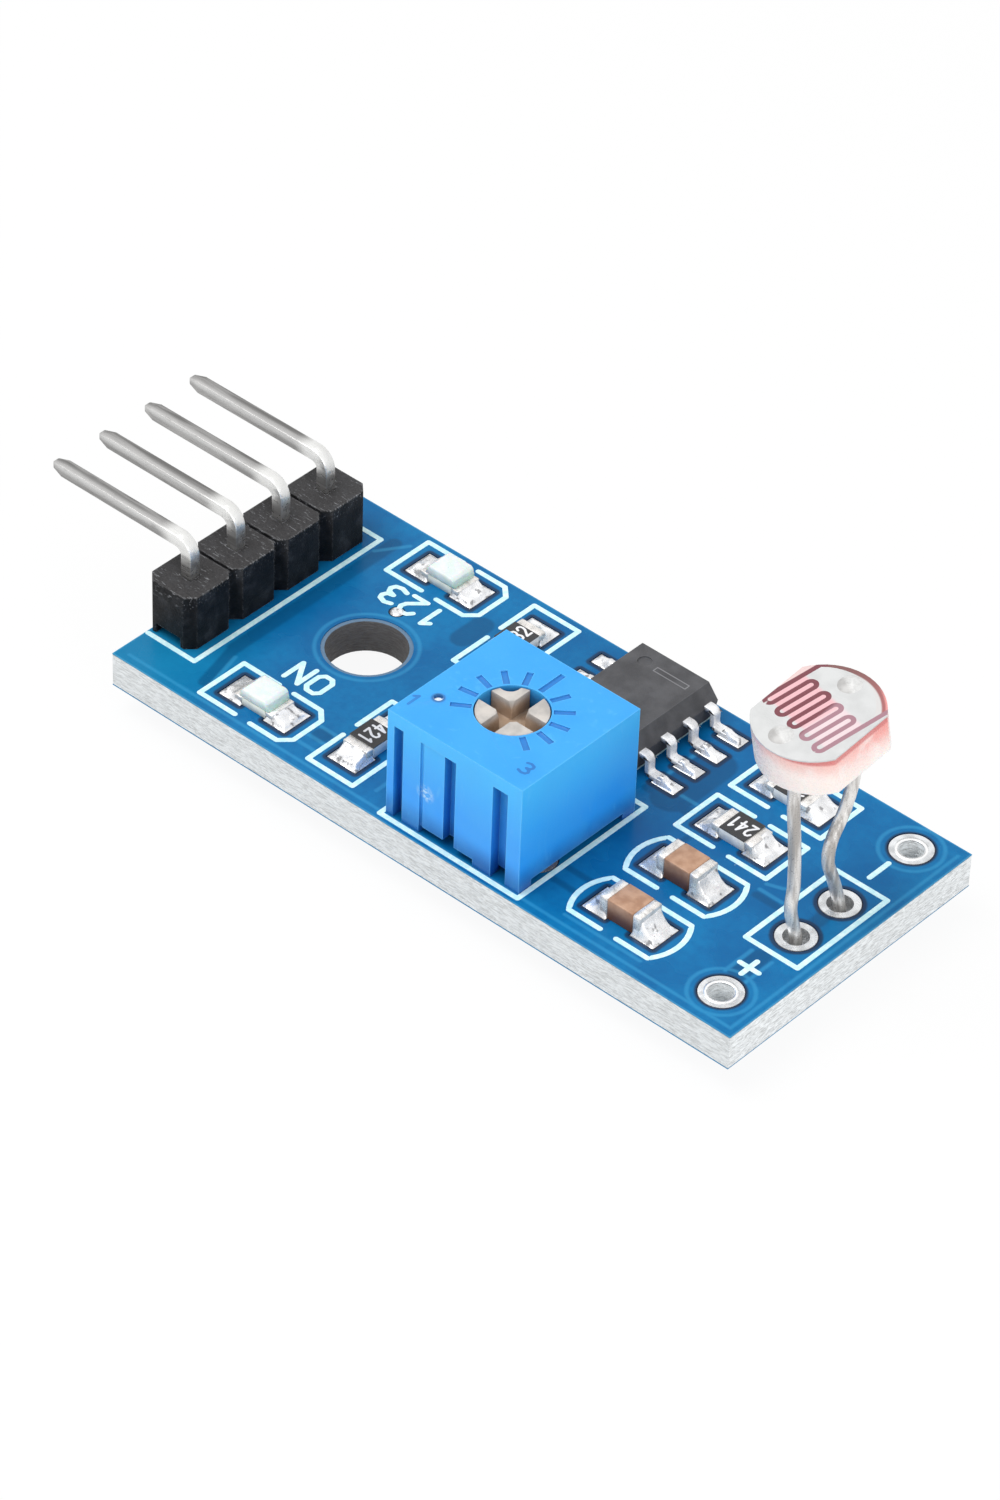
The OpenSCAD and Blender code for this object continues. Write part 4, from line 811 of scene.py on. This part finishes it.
def ribbon(points, width, z, verts, faces, ends=6, thick=0.0):
    """A flat line with round ends and joints along points in the plane."""
    half = width / 2
    for (ax, ay), (bx, by) in zip(points, points[1:]):
        length = math.hypot(bx - ax, by - ay) or 1e-9
        ux, uy = (bx - ax) / length, (by - ay) / length
        ring = []
        for k in range(ends + 1):
            t = math.pi / 2 + math.pi * k / ends
            ring.append((ax + half * (ux * math.cos(t) - uy * math.sin(t)), ay + half * (uy * math.cos(t) + ux * math.sin(t))))
        for k in range(ends + 1):
            t = -math.pi / 2 + math.pi * k / ends
            ring.append((bx + half * (ux * math.cos(t) - uy * math.sin(t)), by + half * (uy * math.cos(t) + ux * math.sin(t))))
        start = len(verts)
        verts.extend((x, y, z) for x, y in ring)
        faces.append(tuple(range(start, start + len(ring))))
        z += 0.0002


def write(text, origin, along, up, height, width, z, verts, faces, gap=0.32, squeeze=1.0):
    """Draws text with strokes from its lower left corner; along and up are unit vectors in the plane."""
    k = height / 1.1
    at = 0.0
    for letter in text:
        for stroke in GLYPHS[letter]:
            points = [
                (origin[0] + along[0] * (at + p[0] * k * squeeze) + up[0] * p[1] * k,
                 origin[1] + along[1] * (at + p[0] * k * squeeze) + up[1] * p[1] * k)
                for p in stroke
            ]
            ribbon(points, width, z, verts, faces)
        at += (0.7 * squeeze + gap) * k


def lettering():
    """Plain words and numbers where the photo has print."""
    x_right, x_left = (1.0, 0.0), (-1.0, 0.0)
    y_up, y_down = (0.0, 1.0), (0.0, -1.0)
    verts, faces = [], []
    write("ON", (0.62, -2.42), x_left, y_down, 1.1, 0.22, TOP + 0.012, verts, faces)
    write("123", (0.9, 3.62), x_left, y_down, 1.1, 0.22, TOP + 0.012, verts, faces)
    add_mesh("board_lettering", verts, faces, "print", smooth=False)
    verts, faces = [], []
    # the numbers are flat sheets of a darker blue, painted shade standing in for their engraving
    write("1", (7.3, -5.92), x_right, y_up, 0.62, 0.12, TRIMMER_TOP + 0.002, verts, faces)
    write("3", (12.98, -5.92), x_right, y_up, 0.62, 0.12, TRIMMER_TOP + 0.002, verts, faces)
    add_mesh("trimmer_numbers", verts, faces, "engraving", smooth=False)
    verts, faces = [], []
    bar = [(10.16, 5.18), (11.76, 5.18), (11.76, 5.44), (10.16, 5.44), (10.16, 5.18)]
    ribbon(bar, 0.05, CHIP_TOP + 0.002, verts, faces)
    add_mesh("chip_bar", verts, faces, "chip_print", smooth=False)
    verts, faces = [], []
    for (middle, along, up), number in zip(RESISTORS, ("241", "314", "132", "421")):
        corner = [middle[i] - along[i] * 0.54 - up[i] * 0.31 for i in range(2)]
        write(number, corner, along, up, 0.62, 0.1, COAT_TOP + 0.002, verts, faces, 0.24, 0.68)
    add_mesh("resistor_numbers", verts, faces, "digits", smooth=False)


lettering()

# sensor legs

WIRES = {
    "sensor_leg_1": [
        (22.86, -1.27, -1.245), (22.86, -1.27, 0.6), (22.85, -1.3, 1.54), (22.7, -1.52, 2.9), (22.62, -1.34, 3.9),
        (22.5, -1.3, 5.6), (22.38, -1.38, 7.4), (22.257, -1.345, 8.66), (22.129, -1.674, 10.77)],
    "sensor_leg_2": [
        (22.86, 1.27, -1.245), (22.86, 1.27, 0.6), (22.85, 1.22, 1.54), (22.74, 0.84, 3.0), (22.68, 0.56, 3.9),
        (22.62, 0.74, 4.8), (22.56, 1.5, 5.9), (22.5, 1.95, 7.2), (22.405, 2.01, 9.19), (22.277, 1.682, 11.3)],
}


def catmull(points, steps):
    pts = [Vector(p) for p in points]
    pts = [2 * pts[0] - pts[1]] + pts + [2 * pts[-1] - pts[-2]]
    out = []
    for i in range(1, len(pts) - 2):
        p0, p1, p2, p3 = pts[i - 1:i + 3]
        for k in range(steps):
            t = k / steps
            out.append(0.5 * ((2 * p1) + (p2 - p0) * t + (2 * p0 - 5 * p1 + 4 * p2 - p3) * t * t
                              + (3 * p1 - p0 - 3 * p2 + p3) * t ** 3))
    out.append(pts[-2])
    return out


def tube(name, points, radius, look, steps=10, sides=20):
    path = catmull(points, steps)
    verts, faces = [], []
    side = Vector((1, 0, 0))
    for i, p in enumerate(path):
        forward = (path[min(i + 1, len(path) - 1)] - path[max(i - 1, 0)]).normalized()
        side = (side - forward * side.dot(forward)).normalized()
        other = forward.cross(side)
        for k in range(sides):
            t = 2 * math.pi * k / sides
            r = radius * (1 + 0.02 * noise.noise(p * 1.4 + Vector((k * 0.1, 0, 0))))
            verts.append(p + side * (r * math.cos(t)) + other * (r * math.sin(t)))
    for i in range(len(path) - 1):
        for k in range(sides):
            a, b = i * sides + k, i * sides + (k + 1) % sides
            faces.append((a, b, b + sides, a + sides))
    faces.append(tuple(reversed(range(sides))))
    faces.append(tuple(range(len(verts) - sides, len(verts))))
    return add_mesh(name, verts, faces, look)


for (name, points), node in zip(WIRES.items(), ("sensor_lead_1", "sensor_lead_2")):
    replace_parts(tube(name, points, 0.25, "wires"), node)

# floor, light and camera


def light_path_mix(tree, strength_shown, strength_hidden):
    """A strength for rays that look straight at the surface or by mirror or glass, and one for the rest."""
    nodes, links = tree.nodes, tree.links
    path = nodes.new("ShaderNodeLightPath")
    first = nodes.new("ShaderNodeMath")
    first.operation = "MAXIMUM"
    links.new(path.outputs["Is Camera Ray"], first.inputs[0])
    links.new(path.outputs["Is Glossy Ray"], first.inputs[1])
    second = nodes.new("ShaderNodeMath")
    second.operation = "MAXIMUM"
    links.new(first.outputs[0], second.inputs[0])
    links.new(path.outputs["Is Transmission Ray"], second.inputs[1])
    blend = nodes.new("ShaderNodeMapRange")
    links.new(second.outputs[0], blend.inputs["Value"])
    blend.inputs["To Min"].default_value = strength_hidden
    blend.inputs["To Max"].default_value = strength_shown
    return blend.outputs["Result"]


def world():
    made = bpy.data.worlds.new("studio")
    bpy.context.scene.world = made
    made.use_nodes = True
    tree = made.node_tree
    back = tree.nodes["Background"]
    back.inputs["Color"].default_value = (1.0, 1.0, 1.0, 1.0)
    tree.links.new(light_path_mix(tree, 1.0, 0.62), back.inputs["Strength"])


def floor():
    mesh = bpy.data.meshes.new("floor")
    r, z = 0.9, -1.25 * MM
    mesh.from_pydata([(-r, -r, z), (r, -r, z), (r, r, z), (-r, r, z)], [], [(0, 1, 2, 3)])
    obj = bpy.data.objects.new("floor", mesh)
    bpy.context.scene.collection.objects.link(obj)
    mat = bpy.data.materials.new("floor_white")
    mat.use_nodes = True
    tree = mat.node_tree
    bsdf = tree.nodes["Principled BSDF"]
    bsdf.inputs["Base Color"].default_value = (0.86, 0.86, 0.86, 1.0)
    bsdf.inputs["Roughness"].default_value = 0.8
    bsdf.inputs["Specular IOR Level"].default_value = 0.0
    glow = tree.nodes.new("ShaderNodeEmission")
    mixer = tree.nodes.new("ShaderNodeMixShader")
    tree.links.new(light_path_mix(tree, 0.93, 0.0), mixer.inputs["Fac"])
    tree.links.new(bsdf.outputs[0], mixer.inputs[1])
    tree.links.new(glow.outputs[0], mixer.inputs[2])
    tree.links.new(mixer.outputs[0], tree.nodes["Material Output"].inputs["Surface"])
    glow.inputs["Strength"].default_value = 1.0
    mesh.materials.append(mat)


def lamp(name, place, target, size, power):
    data = bpy.data.lights.new(name, "AREA")
    data.shape = "RECTANGLE"
    data.size, data.size_y = size[0] * MM, size[1] * MM
    data.energy = power
    obj = bpy.data.objects.new(name, data)
    bpy.context.scene.collection.objects.link(obj)
    obj.location = Vector(place) * MM
    aim = Vector(target) * MM - obj.location
    obj.rotation_euler = aim.to_track_quat("-Z", "Y").to_euler()


def camera():
    data = bpy.data.cameras.new("camera")
    data.sensor_width = 36.0
    data.sensor_fit = "AUTO"
    data.lens = 147.41
    data.clip_start = 0.01
    data.clip_end = 5.0
    obj = bpy.data.objects.new("camera", data)
    bpy.context.scene.collection.objects.link(obj)
    right = (0.741321, 0.670518, 0.029150)
    down = (0.449674, -0.463977, -0.763230)
    look = (-0.498234, 0.578906, -0.645469)
    rows = [[right[i], -down[i], -look[i]] for i in range(3)]
    spot = (124.5817, -136.6003, 152.743)
    obj.matrix_world = Matrix([
        [*rows[0], spot[0] * MM], [*rows[1], spot[1] * MM], [*rows[2], spot[2] * MM], [0, 0, 0, 1]])
    bpy.context.scene.camera = obj


world()
floor()
lamp("key", (-60, -60, 220), (9, 0, 2), (160, 160), 0.35)
lamp("side", (150, -40, 90), (9, 0, 2), (90, 90), 0.08)
camera()

scene = bpy.context.scene
scene.view_settings.view_transform = "Standard"
